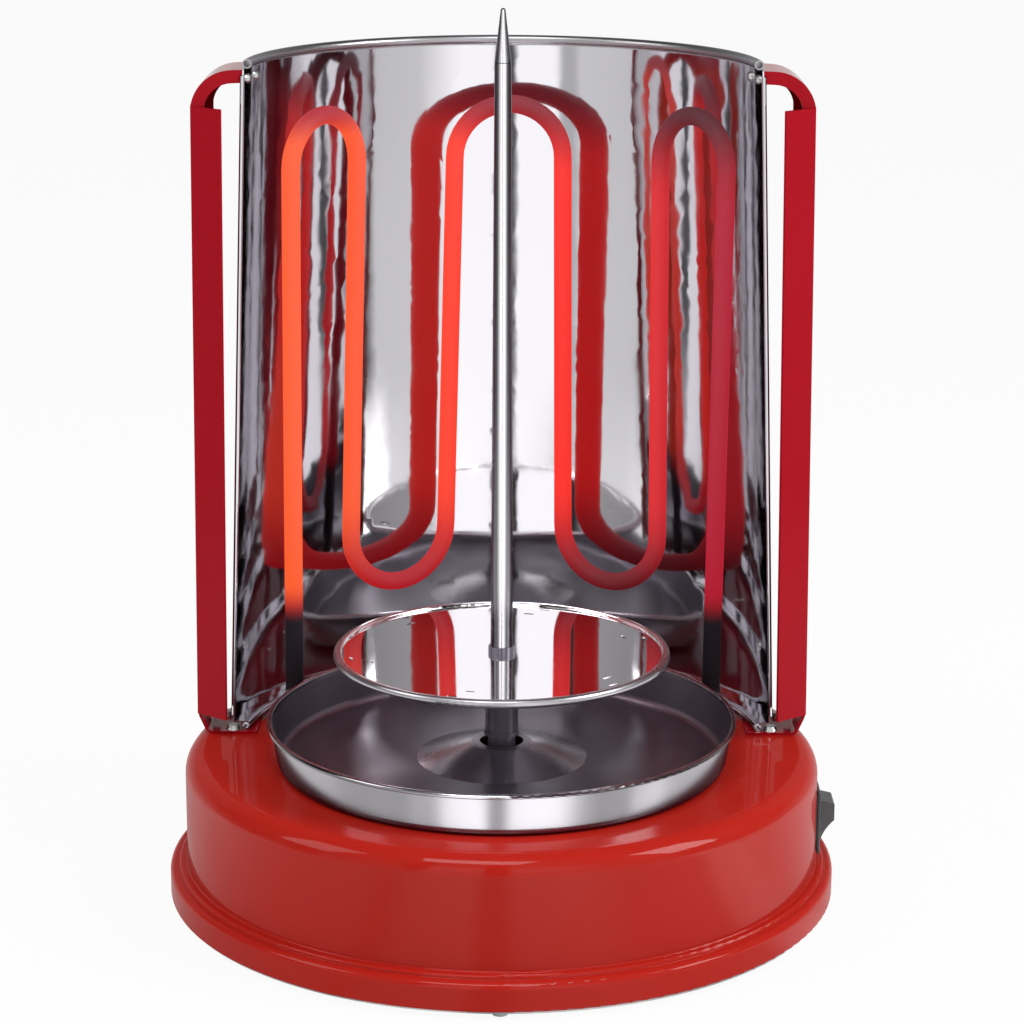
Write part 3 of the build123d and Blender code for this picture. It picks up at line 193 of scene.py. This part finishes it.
def blotches():
    """Slow variation between two values, for roughness and colour."""
    patches = Effect(
        "blotches",
        [
            ("Place", VECTOR, None), ("Scale", FLOAT, 30.0), ("Low", FLOAT, 0.0),
            ("High", FLOAT, 1.0),
        ],
        [("Value", FLOAT)],
    )
    given = patches.given
    noise = patches.node("ShaderNodeTexNoise")
    noise.inputs["Detail"].default_value = 5.0
    patches.link(given["Place"], noise.inputs["Vector"])
    patches.link(given["Scale"], noise.inputs["Scale"])
    value = patches.between(
        noise.outputs["Fac"], 0.32, 0.68, given["Low"], given["High"], kind="LINEAR"
    )
    patches.link(value, patches.result["Value"])
    return patches.tree


def turned_place():
    """Coordinates round an upright axis, (radius, 0, height), for lathe and brush marks."""
    lathe = Effect(
        "turned_place",
        [("Place", VECTOR, None), ("Radial", FLOAT, 1.0)],
        [("Place", VECTOR), ("Radius", FLOAT)],
    )
    place = lathe.given["Place"]
    radius = lathe.vector("LENGTH", lathe.vector("MULTIPLY", place, (1.0, 1.0, 0.0)))
    join = lathe.node("ShaderNodeCombineXYZ")
    lathe.link(lathe.math("MULTIPLY", radius, lathe.given["Radial"]), join.inputs["X"])
    lathe.link(lathe.parts(place)["Z"], join.inputs["Z"])
    lathe.link(join.outputs["Vector"], lathe.result["Place"])
    lathe.link(radius, lathe.result["Radius"])
    return lathe.tree


GRAIN, BLOTCHES, TURNED = grain_bump(), blotches(), turned_place()


class Finish(Tree):
    """A material in the making: its shader, and the object's own coordinates."""

    def __init__(self, name, colour, metallic=0.0, roughness=0.4):
        self.material = bpy.data.materials.new(name)
        self.material.use_nodes = True
        super().__init__(self.material.node_tree)
        self.shader = self.tree.nodes["Principled BSDF"]
        self.set("Base Color", colour)
        self.set("Metallic", metallic)
        self.set("Roughness", roughness)
        self.place = self.node("ShaderNodeTexCoord").outputs["Object"]

    def set(self, label, value):
        self.feed(self.shader.inputs[label], value)

    def direction(self):
        """The way that the surface faces."""
        return self.node("ShaderNodeNewGeometry").outputs["Normal"]

    def mapped(self, location=(0.0, 0.0, 0.0), scale=(1.0, 1.0, 1.0)):
        mapping = self.node("ShaderNodeMapping")
        mapping.inputs["Location"].default_value = location
        mapping.inputs["Scale"].default_value = scale
        self.link(self.place, mapping.inputs["Vector"])
        return mapping.outputs["Vector"]

    def about_spit(self):
        """Coordinates with their middle on the spit's axis."""
        return self.mapped(location=(0.0, -SPIT_Y, 0.0))

    def use(self, group, place, **values):
        node = self.node("ShaderNodeGroup", node_tree=group)
        self.link(place, node.inputs["Place"])
        for label, value in values.items():
            node.inputs[label].default_value = value
        return node.outputs

    def grain(self, place, scale, height, detail=3.0):
        return self.use(GRAIN, place, Scale=scale, Height=height, Detail=detail)["Normal"]

    def bump(self, scale, height, detail=3.0, place=None):
        self.set("Normal", self.grain(place or self.place, scale, height, detail))

    def sum_of(self, first, second):
        """One direction from two."""
        return self.vector("NORMALIZE", self.vector("ADD", first, second))

    def roughness(self, low, high, scale):
        patches = self.use(BLOTCHES, self.place, Scale=scale, Low=low, High=high)
        self.set("Roughness", patches["Value"])

    def colours(self, first, second, scale):
        """Two near shades in slow patches."""
        shade = self.blend(self.use(BLOTCHES, self.place, Scale=scale)["Value"], first, second)
        self.set("Base Color", shade)
        return shade

    def two_finishes(self, mask, first, second, first_rough, second_rough):
        """One finish where the mask is 0, another where it is 1, with slow patches in their gloss."""
        self.set("Base Color", self.blend(mask, first, second))
        patches = self.use(BLOTCHES, self.place, Scale=40.0, Low=0.0, High=1.0)["Value"]
        low = self.share(mask, first_rough[0], second_rough[0])
        high = self.share(mask, first_rough[1], second_rough[1])
        self.set("Roughness", self.share(patches, low, high))


# ---------------------------------------------------------------- finishes
def lacquer(name, first, second, mirrored, coat_roughness, gloss):
    """Stoved gloss lacquer: clear coat, faint orange peel, and painted shade: a darker colour where
    gloss rays see it.
    """
    coat = Finish(name, first, roughness=0.5)
    shade = coat.colours(first, second, scale=9.0)
    # painted shade: reflections of the lacquer show the darker mirrored colour, not its own
    path = coat.node("ShaderNodeLightPath")
    coat.set("Base Color", coat.blend(path.outputs["Is Glossy Ray"], shade, mirrored))
    coat.roughness(0.46, 0.54, scale=40.0)
    if isinstance(gloss, tuple):
        # glossier where it faces up than on its upright sides
        upward = coat.parts(coat.direction())["Z"]
        gloss = coat.between(upward, 0.45, 0.85, *gloss)
    coat.set("Coat Weight", gloss)
    coat.set("Coat Roughness", coat_roughness)
    coat.set("Specular IOR Level", 0.04)
    coat.bump(scale=420.0, height=0.000004, detail=2.0)
    return coat.material


def mirror_sheet():
    """Polished reflector sheet: rolling lines, slight waviness and a satin bead round its top."""
    polished, satin = (0.655, 0.640, 0.672), (0.40, 0.39, 0.41)
    sheet = Finish("mirror_sheet", polished, metallic=1.0)
    height = sheet.parts(sheet.place)["Z"]
    bead = sheet.between(height, BEAD_FOOT - 0.0004, BEAD_FOOT + 0.0004, 0.0, 1.0)
    sheet.two_finishes(bead, polished, satin, (0.035, 0.075), (0.30, 0.38))
    rolled = sheet.mapped(scale=(1.0, 1.0, 0.06))
    wave = sheet.grain(rolled, scale=60.0, height=0.0000003, detail=1.0)
    lines = sheet.grain(rolled, scale=2600.0, height=0.0000008, detail=2.0)
    sheet.set("Normal", sheet.sum_of(wave, lines))
    return sheet.material


def disc_mirror():
    """Bright-polished disc with the faintest turning marks and a satin rolled rim."""
    polished, satin = (0.92, 0.90, 0.92), (0.50, 0.48, 0.51)
    disc = Finish("disc_mirror", polished, metallic=1.0)
    turned = disc.use(TURNED, disc.about_spit(), Radial=1.0)
    rim = disc.between(turned["Radius"], DISC_RIM_R - 0.0028, DISC_RIM_R - 0.0018, 0.0, 1.0)
    disc.two_finishes(rim, polished, satin, (0.03, 0.07), (0.27, 0.35))
    disc.bump(scale=1500.0, height=0.000002, detail=2.0, place=turned["Place"])
    return disc.material


def tray_sheet():
    """Spun stainless tray, brush marks running round: bright outside with painted highlight and
    shade, and a duller, darker colour inside as painted shade.
    """
    # dull is painted shade for the inside; front and the flank colour are painted highlight and shade
    # for the outside
    dull, front, painted_shade_flanks = (0.235, 0.21, 0.245), (0.68, 0.66, 0.70), (0.34, 0.33, 0.35)
    tray = Finish("tray_sheet", (0.50, 0.48, 0.51), metallic=1.0)
    centred = tray.about_spit()
    turned = tray.use(TURNED, centred, Radial=1.0)
    # outside is where the sheet faces away from the axis
    away = tray.vector("NORMALIZE", tray.vector("MULTIPLY", centred, (1.0, 1.0, 0.0)))
    facing = tray.vector("DOT_PRODUCT", tray.direction(), away)
    outside = tray.between(facing, 0.10, 0.40, 0.0, 1.0)
    rim = tray.between(tray.parts(centred)["Z"], TRAY_RIM - 0.0030, TRAY_RIM - 0.0016, 0.0, 1.0)
    # painted highlight and shade: the outside is coloured lighter where it faces front or back and
    # darker where it faces the sides
    aside = tray.math("ABSOLUTE", tray.parts(tray.direction())["X"])
    painted_highlight_and_shade = tray.blend(tray.between(aside, 0.22, 0.42, 0.0, 1.0), front, painted_shade_flanks)
    bright = tray.math("MAXIMUM", outside, rim)
    # painted shade: everything but the outside and the rim takes the darker dull colour
    tray.two_finishes(bright, dull, painted_highlight_and_shade, (0.33, 0.42), (0.17, 0.22))
    # and it leans the outside's gloss up a little
    marks = tray.grain(turned["Place"], scale=700.0, height=0.000003)
    lift = tray.vector("SCALE", (0.0, 0.0, 0.25), scale=outside)
    tray.set("Normal", tray.sum_of(marks, lift))
    tray.set("Anisotropic", 0.6)
    tray.set("Anisotropic Rotation", 0.25)
    return tray.material


def turned_steel():
    """Polished rod, shaft and tip: fine rings from the lathe, and painted shade: coloured darker
    where the surface turns away from view.
    """
    middle, painted_shade_flanks = (0.95, 0.93, 0.95), (0.20, 0.19, 0.21)
    rod = Finish("turned_steel", middle, metallic=1.0)
    grazing = rod.node("ShaderNodeLayerWeight")
    grazing.inputs["Blend"].default_value = 0.5
    # painted shade: the colour darkens towards the edges that turn away from view
    painted_flank_shade = rod.between(grazing.outputs["Facing"], 0.02, 0.16, 0.0, 1.0)
    rod.set("Base Color", rod.blend(painted_flank_shade, middle, painted_shade_flanks))
    rod.roughness(0.20, 0.28, scale=90.0)
    turned = rod.use(TURNED, rod.about_spit(), Radial=0.1)
    rod.bump(scale=1400.0, height=0.000005, place=turned["Place"])
    return rod.material


def dark_steel():
    """Blackened sleeve and ring."""
    black = Finish("dark_steel", (0.19, 0.175, 0.215), metallic=0.6)
    black.colours((0.17, 0.158, 0.195), (0.21, 0.194, 0.235), scale=150.0)
    black.roughness(0.30, 0.42, scale=80.0)
    black.bump(scale=1200.0, height=0.00001)
    return black.material


def plated_steel(name, colour):
    """Plated or cast metal: crystalline mottling."""
    plate = Finish(name, colour, metallic=1.0)
    plate.colours(colour, tuple(channel * 1.18 for channel in colour), scale=320.0)
    plate.roughness(0.28, 0.42, scale=140.0)
    plate.bump(scale=1500.0, height=0.000008)
    return plate.material


def hot_tube():
    """Sheathed heater tube: bright orange at the left, dull red at the right, cooler at its bends."""
    tube = Finish("hot_tube", (0.042, 0.036, 0.046), roughness=0.6)
    tube.roughness(0.55, 0.68, scale=120.0)
    tube.bump(scale=1100.0, height=0.000015)
    tube.set("Specular IOR Level", 0.15)
    place = tube.parts(tube.place)
    across = tube.between(place["X"], -0.094, 0.094, 0.0, 1.0)
    glow = tube.ramp(across, (
        (0.00, (0.96, 0.100, 0.010)),
        (0.22, (0.98, 0.055, 0.012)),
        (0.40, (0.96, 0.032, 0.008)),
        (0.72, (0.95, 0.018, 0.004)),
        (0.93, (0.76, 0.012, 0.006)),
        (1.00, (0.42, 0.002, 0.018)),
    ))
    # how hot it is up its length: cooler at crests and low bends, cold at the outer feet
    crest_from = tube.between(place["X"], -0.07, 0.08, 0.322, 0.292)
    crest = tube.between(place["Z"], crest_from, 0.337, 1.0, 0.0)
    low_bend = tube.between(place["Z"], 0.112, 0.160, 0.0, 1.0)
    outer_foot = tube.between(place["Z"], 0.111, 0.130, 0.0, 1.0)
    outer = tube.between(tube.math("ABSOLUTE", place["X"]), INNER_REACH, 0.088, 0.0, 1.0)
    heat = tube.math("MULTIPLY", tube.share(outer, low_bend, outer_foot), crest)
    colour = tube.blend(heat, (0.70, 0.004, 0.012), glow)
    # the bends still glow a little, less to the right
    bend_glow = tube.between(place["X"], -0.07, 0.08, 0.60, 0.11)
    live = tube.math("MAXIMUM", outer_foot, tube.math("SUBTRACT", 1.0, outer))
    strength = tube.share(heat, tube.share(live, 0.0, bend_glow), 1.0)
    # painted reflection: what gloss rays see of it is tinted redder and dimmed, dimmer still after
    # two bounces
    path = tube.node("ShaderNodeLightPath").outputs
    painted_reflection_tint = tube.blend(path["Is Glossy Ray"], (1.0, 1.0, 1.0), (1.0, 0.38, 0.60))
    tube.set("Emission Color", tube.mix("RGBA", 1.0, colour, painted_reflection_tint, blend_type="MULTIPLY"))
    painted_bounce_dimming = tube.between(path["Glossy Depth"], 1.0, 2.0, 0.62, 0.44)
    mirrored = tube.share(path["Is Glossy Ray"], 1.0, painted_bounce_dimming)
    tube.set("Emission Strength", tube.math("MULTIPLY", strength, mirrored))
    return tube.material


def moulded(name, first, second, low, high, coat=0.0):
    """Moulded plastic, ceramic or rubber with a fine texture."""
    plastic = Finish(name, first)
    plastic.colours(first, second, scale=60.0)
    plastic.roughness(low, high, scale=90.0)
    plastic.bump(scale=1800.0, height=0.00001)
    if coat:
        plastic.set("Coat Weight", coat)
        plastic.set("Coat Roughness", 0.12)
    return plastic.material


def earth_sleeve():
    """Green insulation with a yellow stripe."""
    green, yellow = (0.06, 0.30, 0.05), (0.70, 0.62, 0.04)
    sleeve = Finish("earth_sleeve", (0.10, 0.35, 0.05))
    stripe = sleeve.node("ShaderNodeTexWave", wave_type="BANDS", bands_direction="DIAGONAL")
    stripe.inputs["Scale"].default_value = 120.0
    sleeve.link(sleeve.place, stripe.inputs["Vector"])
    sleeve.set("Base Color", sleeve.blend(stripe.outputs["Fac"], green, yellow))
    sleeve.roughness(0.38, 0.50, scale=30.0)
    sleeve.bump(scale=1500.0, height=0.00001)
    return sleeve.material


# mirrored: painted shade, the darker colour that reflections of each lacquer show
base_lacquer = lacquer(
    "base_lacquer", (0.415, 0.0135, 0.0075), (0.425, 0.0145, 0.0080),
    mirrored=(0.13, 0.002, 0.008), coat_roughness=0.05, gloss=0.32,
)
handle_lacquer = lacquer(
    "handle_lacquer", (0.36, 0.003, 0.011), (0.37, 0.004, 0.012),
    mirrored=(0.22, 0.002, 0.010), coat_roughness=0.08, gloss=(0.10, 1.0),
)
mirror = mirror_sheet()
disc_face = disc_mirror()
tray_metal = tray_sheet()
steel = turned_steel()
black_steel = dark_steel()
zinc = plated_steel("plated_steel", (0.55, 0.55, 0.54))
bronze = plated_steel("bronze", (0.55, 0.36, 0.17))
brass = plated_steel("brass_part", (0.66, 0.46, 0.20))
alloy = plated_steel("case_alloy", (0.42, 0.42, 0.43))
glowing = hot_tube()
switch_black = moulded(
    "switch_black", (0.022, 0.021, 0.024), (0.032, 0.031, 0.034), 0.26, 0.36, coat=0.3
)
rocker_dark = moulded(
    "rocker_dark", (0.040, 0.038, 0.045), (0.055, 0.052, 0.060), 0.22, 0.32, coat=0.5
)
rubber = moulded("black_rubber", (0.020, 0.020, 0.021), (0.030, 0.030, 0.031), 0.55, 0.7)
ceramic = moulded("seal_ceramic", (0.74, 0.72, 0.66), (0.80, 0.78, 0.72), 0.3, 0.42, coat=0.4)
block_cream = moulded("block_plastic", (0.70, 0.68, 0.60), (0.76, 0.74, 0.66), 0.34, 0.46)
brown_sleeve = moulded("wire_brown", (0.16, 0.06, 0.025), (0.20, 0.08, 0.03), 0.36, 0.48)
blue_sleeve = moulded("wire_blue", (0.02, 0.08, 0.36), (0.03, 0.11, 0.42), 0.36, 0.48)
earth = earth_sleeve()

PIECES_IN = (
    (base_lacquer, ("base_housing",)),
    (handle_lacquer, ("handle_left", "handle_right")),
    (mirror, ("reflector",)),
    (disc_face, ("meat_disc",)),
    (tray_metal, ("drip_tray",)),
    (steel, ("spit_rod", "spit_tip", "output_shaft")),
    (black_steel, ("lock_ring", "spit_sleeve", "drive_spindle", "spindle_screw")),
    (glowing, ("heating_element",)),
    (zinc, (
        "bottom_cover", "cover_screws", "rear_clips", "clip_screws", "reflector_rivets",
        "handle_screws", "heater_bushes", "motor_can", "motor_standoffs", "motor_screws",
        "block_screws", "earth_screw",
    )),
    (brass, ("heater_nuts", "heater_terminals", "switch_terminals")),
    (bronze, ("shaft_bush",)),
    (alloy, ("gear_case",)),
    (ceramic, ("heater_seals",)),
    (switch_black, ("switch_frame",)),
    (rocker_dark, ("switch_rocker",)),
    (rubber, ("rubber_feet", "cord_inlet")),
    (block_cream, ("terminal_block",)),
    (brown_sleeve, ("live_wires",)),
    (blue_sleeve, ("neutral_wires",)),
    (earth, ("earth_wire",)),
)
for material, nodes in PIECES_IN:
    for node in nodes:
        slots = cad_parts[node].data.materials
        slots.clear()
        slots.append(material)


# ---------------------------------------------------------------- heater loops
def edges_in(geometry):
    return [item for item in geometry if isinstance(item, bmesh.types.BMEdge)]


def corners_in(geometry):
    return [item for item in geometry if isinstance(item, bmesh.types.BMVert)]


def grow(shape, ring, lift):
    """Tube carried on straight up or down from its open ring: the new ring's edges and corners."""
    grown = bmesh.ops.extrude_edge_only(shape, edges=ring)["geom"]
    corners = corners_in(grown)
    bmesh.ops.translate(shape, verts=corners, vec=(0.0, 0.0, lift))
    ring = [edge for edge in edges_in(grown) if all(corner in corners for corner in edge.verts)]
    return ring, corners


def close_end(shape, rim):
    """Flat end, bored for its terminal's pin."""
    caps = bmesh.ops.contextual_create(shape, geom=rim)["faces"]
    bmesh.ops.inset_region(shape, faces=caps, thickness=TUBE_R - PIN_BORE_R)
    bored = bmesh.ops.extrude_face_region(shape, geom=caps)["geom"]
    bmesh.ops.translate(shape, verts=corners_in(bored), vec=(0.0, 0.0, PIN_BORE_L))
    bmesh.ops.delete(shape, geom=caps, context="FACES_ONLY")


def shear(shape, corners, level, right=0.0, back=0.0):
    """Corners moved sideways in step with their height over a level."""
    lean = Matrix.Identity(4)
    lean[0][2], lean[1][2] = right, back
    origin = Matrix.Translation((0.0, 0.0, -level))
    bmesh.ops.transform(shape, matrix=lean, space=origin, verts=corners)


def heater_loops():
    """The heater as it stands in the photo: clear of the reflector, leaning forward and right."""
    low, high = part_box("heating_element")
    crest = high[2] - TUBE_R
    # the outer legs stand in the base's bushes; bends over and under join the legs in turn
    outer_leg = (high[0] - TUBE_R, low[1] + TUBE_R)
    right_half = (MIDDLE_LEG, INNER_LEG, outer_leg)
    legs = [Vector((-x, y, 0.0)) for x, y in reversed(right_half)]
    legs += [Vector((x, y, 0.0)) for x, y in right_half]
    shape = bmesh.new()
    start = Matrix.Translation((legs[0].x, legs[0].y, low[2]))
    bmesh.ops.create_circle(shape, segments=TUBE_SIDES, radius=TUBE_R, matrix=start)
    ring = shape.edges[:]
    here = low[2]
    for index, (leg, following) in enumerate(zip(legs, legs[1:])):
        over = index % 2 == 0
        bend_r = (following - leg).length / 2
        turn_z = crest - bend_r if over else LOW_BEND + bend_r
        for _ in range(2):
            ring, corners = grow(shape, ring, (turn_z - here) / 2)
        centre = (leg + following) / 2 + Vector((0.0, 0.0, turn_z))
        axis = Vector((0.0, 0.0, 1.0 if over else -1.0)).cross((following - leg).normalized())
        turned = bmesh.ops.spin(
            shape, geom=ring + corners, cent=centre, axis=axis, angle=math.pi, steps=BEND_STEPS
        )
        ring = edges_in(turned["geom_last"])
        here = turn_z
    grow(shape, ring, low[2] - here)
    bmesh.ops.remove_doubles(shape, verts=shape.verts[:], dist=0.000001)
    rims = [edge for edge in shape.edges if edge.is_boundary]
    for side in (-1, 1):
        close_end(shape, [edge for edge in rims if side * edge.verts[0].co.x > 0])
    # inner legs spread downwards from the middle loop's shoulders, then all above the base leans
    above = [corner for corner in shape.verts if corner.co.z > BUSH_TOP]
    shoulder = crest - MIDDLE_LEG[0]
    for side in (-1, 1):
        inner = [
            corner for corner in above
            if 0 < side * corner.co.x < INNER_REACH and corner.co.z < shoulder
        ]
        shear(shape, inner, shoulder, right=-side * LEG_SPREAD)
    shear(shape, above, BUSH_TOP, right=LEAN_RIGHT, back=-LEAN_FORWARD)
    bmesh.ops.recalc_face_normals(shape, faces=shape.faces[:])
    for face in shape.faces:
        face.smooth = len(face.verts) == 4
    mesh = bpy.data.meshes.new("heater_loops")
    shape.to_mesh(mesh)
    shape.free()
    mesh.materials.append(glowing)
    piece = bpy.data.objects.new("heater_loops", mesh)
    scene.collection.objects.link(piece)
    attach(piece, HOUSING)
    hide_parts("heating_element")


heater_loops()


# ---------------------------------------------------------------- camera
CAMERA_PLACE = (0.0042, -1.2579, 0.5027)
CAMERA_PITCH, CAMERA_ROLL = 0.2583, 0.003
SENSOR_WIDTH = 36.0
LENS_IN_WIDTHS = 3040.9 / 1024


def aim_camera():
    """The photograph's viewpoint: a long lens, a little above, looking slightly down."""
    forward = Vector((0.0, math.cos(CAMERA_PITCH), -math.sin(CAMERA_PITCH)))
    level_right = Vector((1.0, 0.0, 0.0))
    level_up = Vector((0.0, math.sin(CAMERA_PITCH), math.cos(CAMERA_PITCH)))
    right = level_right * math.cos(CAMERA_ROLL) + level_up * math.sin(CAMERA_ROLL)
    up = level_up * math.cos(CAMERA_ROLL) - level_right * math.sin(CAMERA_ROLL)
    place = Matrix((right, up, -forward)).transposed().to_4x4()
    place.translation = CAMERA_PLACE
    data = bpy.data.cameras.new("camera")
    data.sensor_width = SENSOR_WIDTH
    data.lens = LENS_IN_WIDTHS * SENSOR_WIDTH
    data.shift_y = -0.0006
    data.clip_start, data.clip_end = 0.05, 60.0
    camera = bpy.data.objects.new("camera", data)
    camera.matrix_world = place
    scene.collection.objects.link(camera)
    scene.camera = camera


aim_camera()


# ---------------------------------------------------------------- studio
def bands(name, stops):
    """Brightness by compass direction, in degrees from the camera's side, positive to the right."""
    ring = Effect(name, [("Place", VECTOR, None)], [("Value", FLOAT)])
    place = ring.parts(ring.given["Place"])
    turn = ring.math("ARCTAN2", place["X"], ring.math("MULTIPLY", place["Y"], -1.0))
    share = ring.between(turn, -math.pi, math.pi, 0.0, 1.0, kind="LINEAR")
    greys = [((degrees + 180.0) / 360.0, (value, value, value)) for degrees, value in stops]
    ring.link(ring.ramp(share, greys), ring.result["Value"])
    return ring.tree


# what gloss and mirrors see of the room: a white card at each side, greyer walls, dark gaps
ROOM_BANDS = bands("room_bands", (
    (-180, 0.80), (-127, 0.75), (-112, 0.35), (-100, 0.12), (-88, 0.10), (-84, 0.45), (-80, 0.45),
    (-76, 0.10), (-68, 0.10), (-65, 0.80), (-36, 0.88), (-33, 0.62), (-27, 0.62), (-25, 1.50),
    (-7, 1.50), (-5, 0.08), (2, 0.08), (4, 1.50), (20, 1.50), (40, 0.86), (62, 0.80), (66, 0.10),
    (76, 0.10), (80, 0.45), (84, 0.45), (88, 0.10), (100, 0.12), (112, 0.35), (127, 0.75),
    (180, 0.80),
))
# and of the floor close by, in the lacquer's and the tray's gloss
NEAR_BANDS = bands("near_bands", (
    (-180, 0.80), (-124, 1.00), (-100, 1.40), (-80, 1.40), (-60, 1.00), (-36, 1.00), (-30, 0.60),
    (-22, 1.30), (-8, 1.60), (-4, 0.60), (0, 0.60), (5, 1.50), (22, 1.60), (34, 1.00), (55, 1.10),
    (61, 2.60), (70, 2.60), (78, 1.60), (110, 1.40), (130, 0.90), (180, 0.80),
))
FLOOR_R = 14.0
FLOOR_SHARE = 0.93        # the rest of the floor keeps the object's shadow
FILL = 0.48               # even light from the room on matt surfaces


class Stage(Tree):
    """The floor's or the room's nodes, empty at first."""

    def __init__(self, tree):
        super().__init__(tree)
        tree.nodes.clear()
        self.path = self.node("ShaderNodeLightPath").outputs

    def banded(self, group, place):
        """Brightness of the bands in a direction."""
        node = self.node("ShaderNodeGroup", node_tree=group)
        self.link(place, node.inputs["Place"])
        return node.outputs["Value"]

    def seen(self):
        """1 where the camera, gloss or glass looks."""
        seen = self.math("MAXIMUM", self.path["Is Camera Ray"], self.path["Is Glossy Ray"])
        return self.math("MAXIMUM", seen, self.path["Is Transmission Ray"])

    def finish(self, kind, share, plain, shown, mirrored):
        """White to the camera, mirrored brightness to gloss, and the plain shader to the rest."""
        end = self.node(kind)
        self.feed(shown.inputs["Strength"], self.share(self.path["Is Camera Ray"], mirrored, 1.0))
        mix = self.node("ShaderNodeMixShader")
        for socket, value in zip(mix.inputs, (share, plain.outputs[0], shown.outputs[0])):
            self.feed(socket, value)
        self.link(mix.outputs["Shader"], end.inputs["Surface"])


def pale_floor():
    """Pale sweep under the object, white to the camera, and keeping the object's soft shadow."""
    mesh = bpy.data.meshes.new("floor")
    shape = bmesh.new()
    bmesh.ops.create_circle(shape, cap_ends=True, radius=FLOOR_R, segments=96)
    shape.to_mesh(mesh)
    shape.free()
    floor = bpy.data.objects.new("floor", mesh)
    scene.collection.objects.link(floor)
    material = bpy.data.materials.new("pale_floor")
    material.use_nodes = True
    stage = Stage(material.node_tree)
    matt = stage.node("ShaderNodeBsdfDiffuse")
    matt.inputs["Color"].default_value = (0.80, 0.80, 0.80, 1.0)
    place = stage.node("ShaderNodeTexCoord").outputs["Object"]
    reach = stage.vector("LENGTH", place)
    far = stage.between(reach, 0.45, 0.90, 0.0, 1.0)
    mirrored = stage.share(far, stage.banded(NEAR_BANDS, place), stage.banded(ROOM_BANDS, place))
    # the base shades the floor right beside it
    shade = stage.between(reach, 0.15, 0.30, 0.55, 1.0)
    mirrored = stage.math("MULTIPLY", mirrored, shade)
    share = stage.math("MULTIPLY", stage.seen(), FLOOR_SHARE)
    shown = stage.node("ShaderNodeEmission")
    stage.finish("ShaderNodeOutputMaterial", share, matt, shown, mirrored)
    mesh.materials.append(material)


def room():
    """White room to the camera, studio bands to gloss and mirrors, even fill to matt surfaces."""
    world = bpy.data.worlds.new("room")
    scene.world = world
    world.use_nodes = True
    stage = Stage(world.node_tree)
    fill = stage.node("ShaderNodeBackground")
    fill.inputs["Strength"].default_value = FILL
    place = stage.node("ShaderNodeTexCoord").outputs["Generated"]
    walls = stage.banded(ROOM_BANDS, place)
    height = stage.parts(place)["Z"]
    # higher up only the card stays bright
    high = stage.between(height, 0.08, 0.24, 0.0, 1.0)
    card = stage.math("MAXIMUM", stage.math("MULTIPLY_ADD", walls, 2.2, -1.32), 0.02)
    ceiling = stage.between(height, 0.40, 0.75, 1.0, 0.25)
    mirrored = stage.math("MULTIPLY", stage.share(high, walls, card), ceiling)
    shown = stage.node("ShaderNodeBackground")
    stage.finish("ShaderNodeOutputWorld", stage.seen(), fill, shown, mirrored)


def softbox(name, place, target, width, height, power):
    data = bpy.data.lights.new(name, "AREA")
    data.shape = "RECTANGLE"
    data.size, data.size_y = width, height
    data.energy = power
    light = bpy.data.objects.new(name, data)
    direction = Vector(target) - Vector(place)
    light.location = place
    light.rotation_euler = direction.to_track_quat("-Z", "Y").to_euler()
    scene.collection.objects.link(light)


pale_floor()
room()
softbox("softbox_left", (-1.50, -0.45, 1.20), (0, 0, 0.15), 0.7, 1.0, 8.0)
softbox("softbox_right", (1.48, -0.50, 1.20), (0, 0, 0.15), 0.7, 1.0, 22.0)
softbox("softbox_top", (-0.2, -0.9, 1.75), (0, 0, 0.1), 0.9, 0.6, 12.0)

scene.view_settings.view_transform = "Standard"
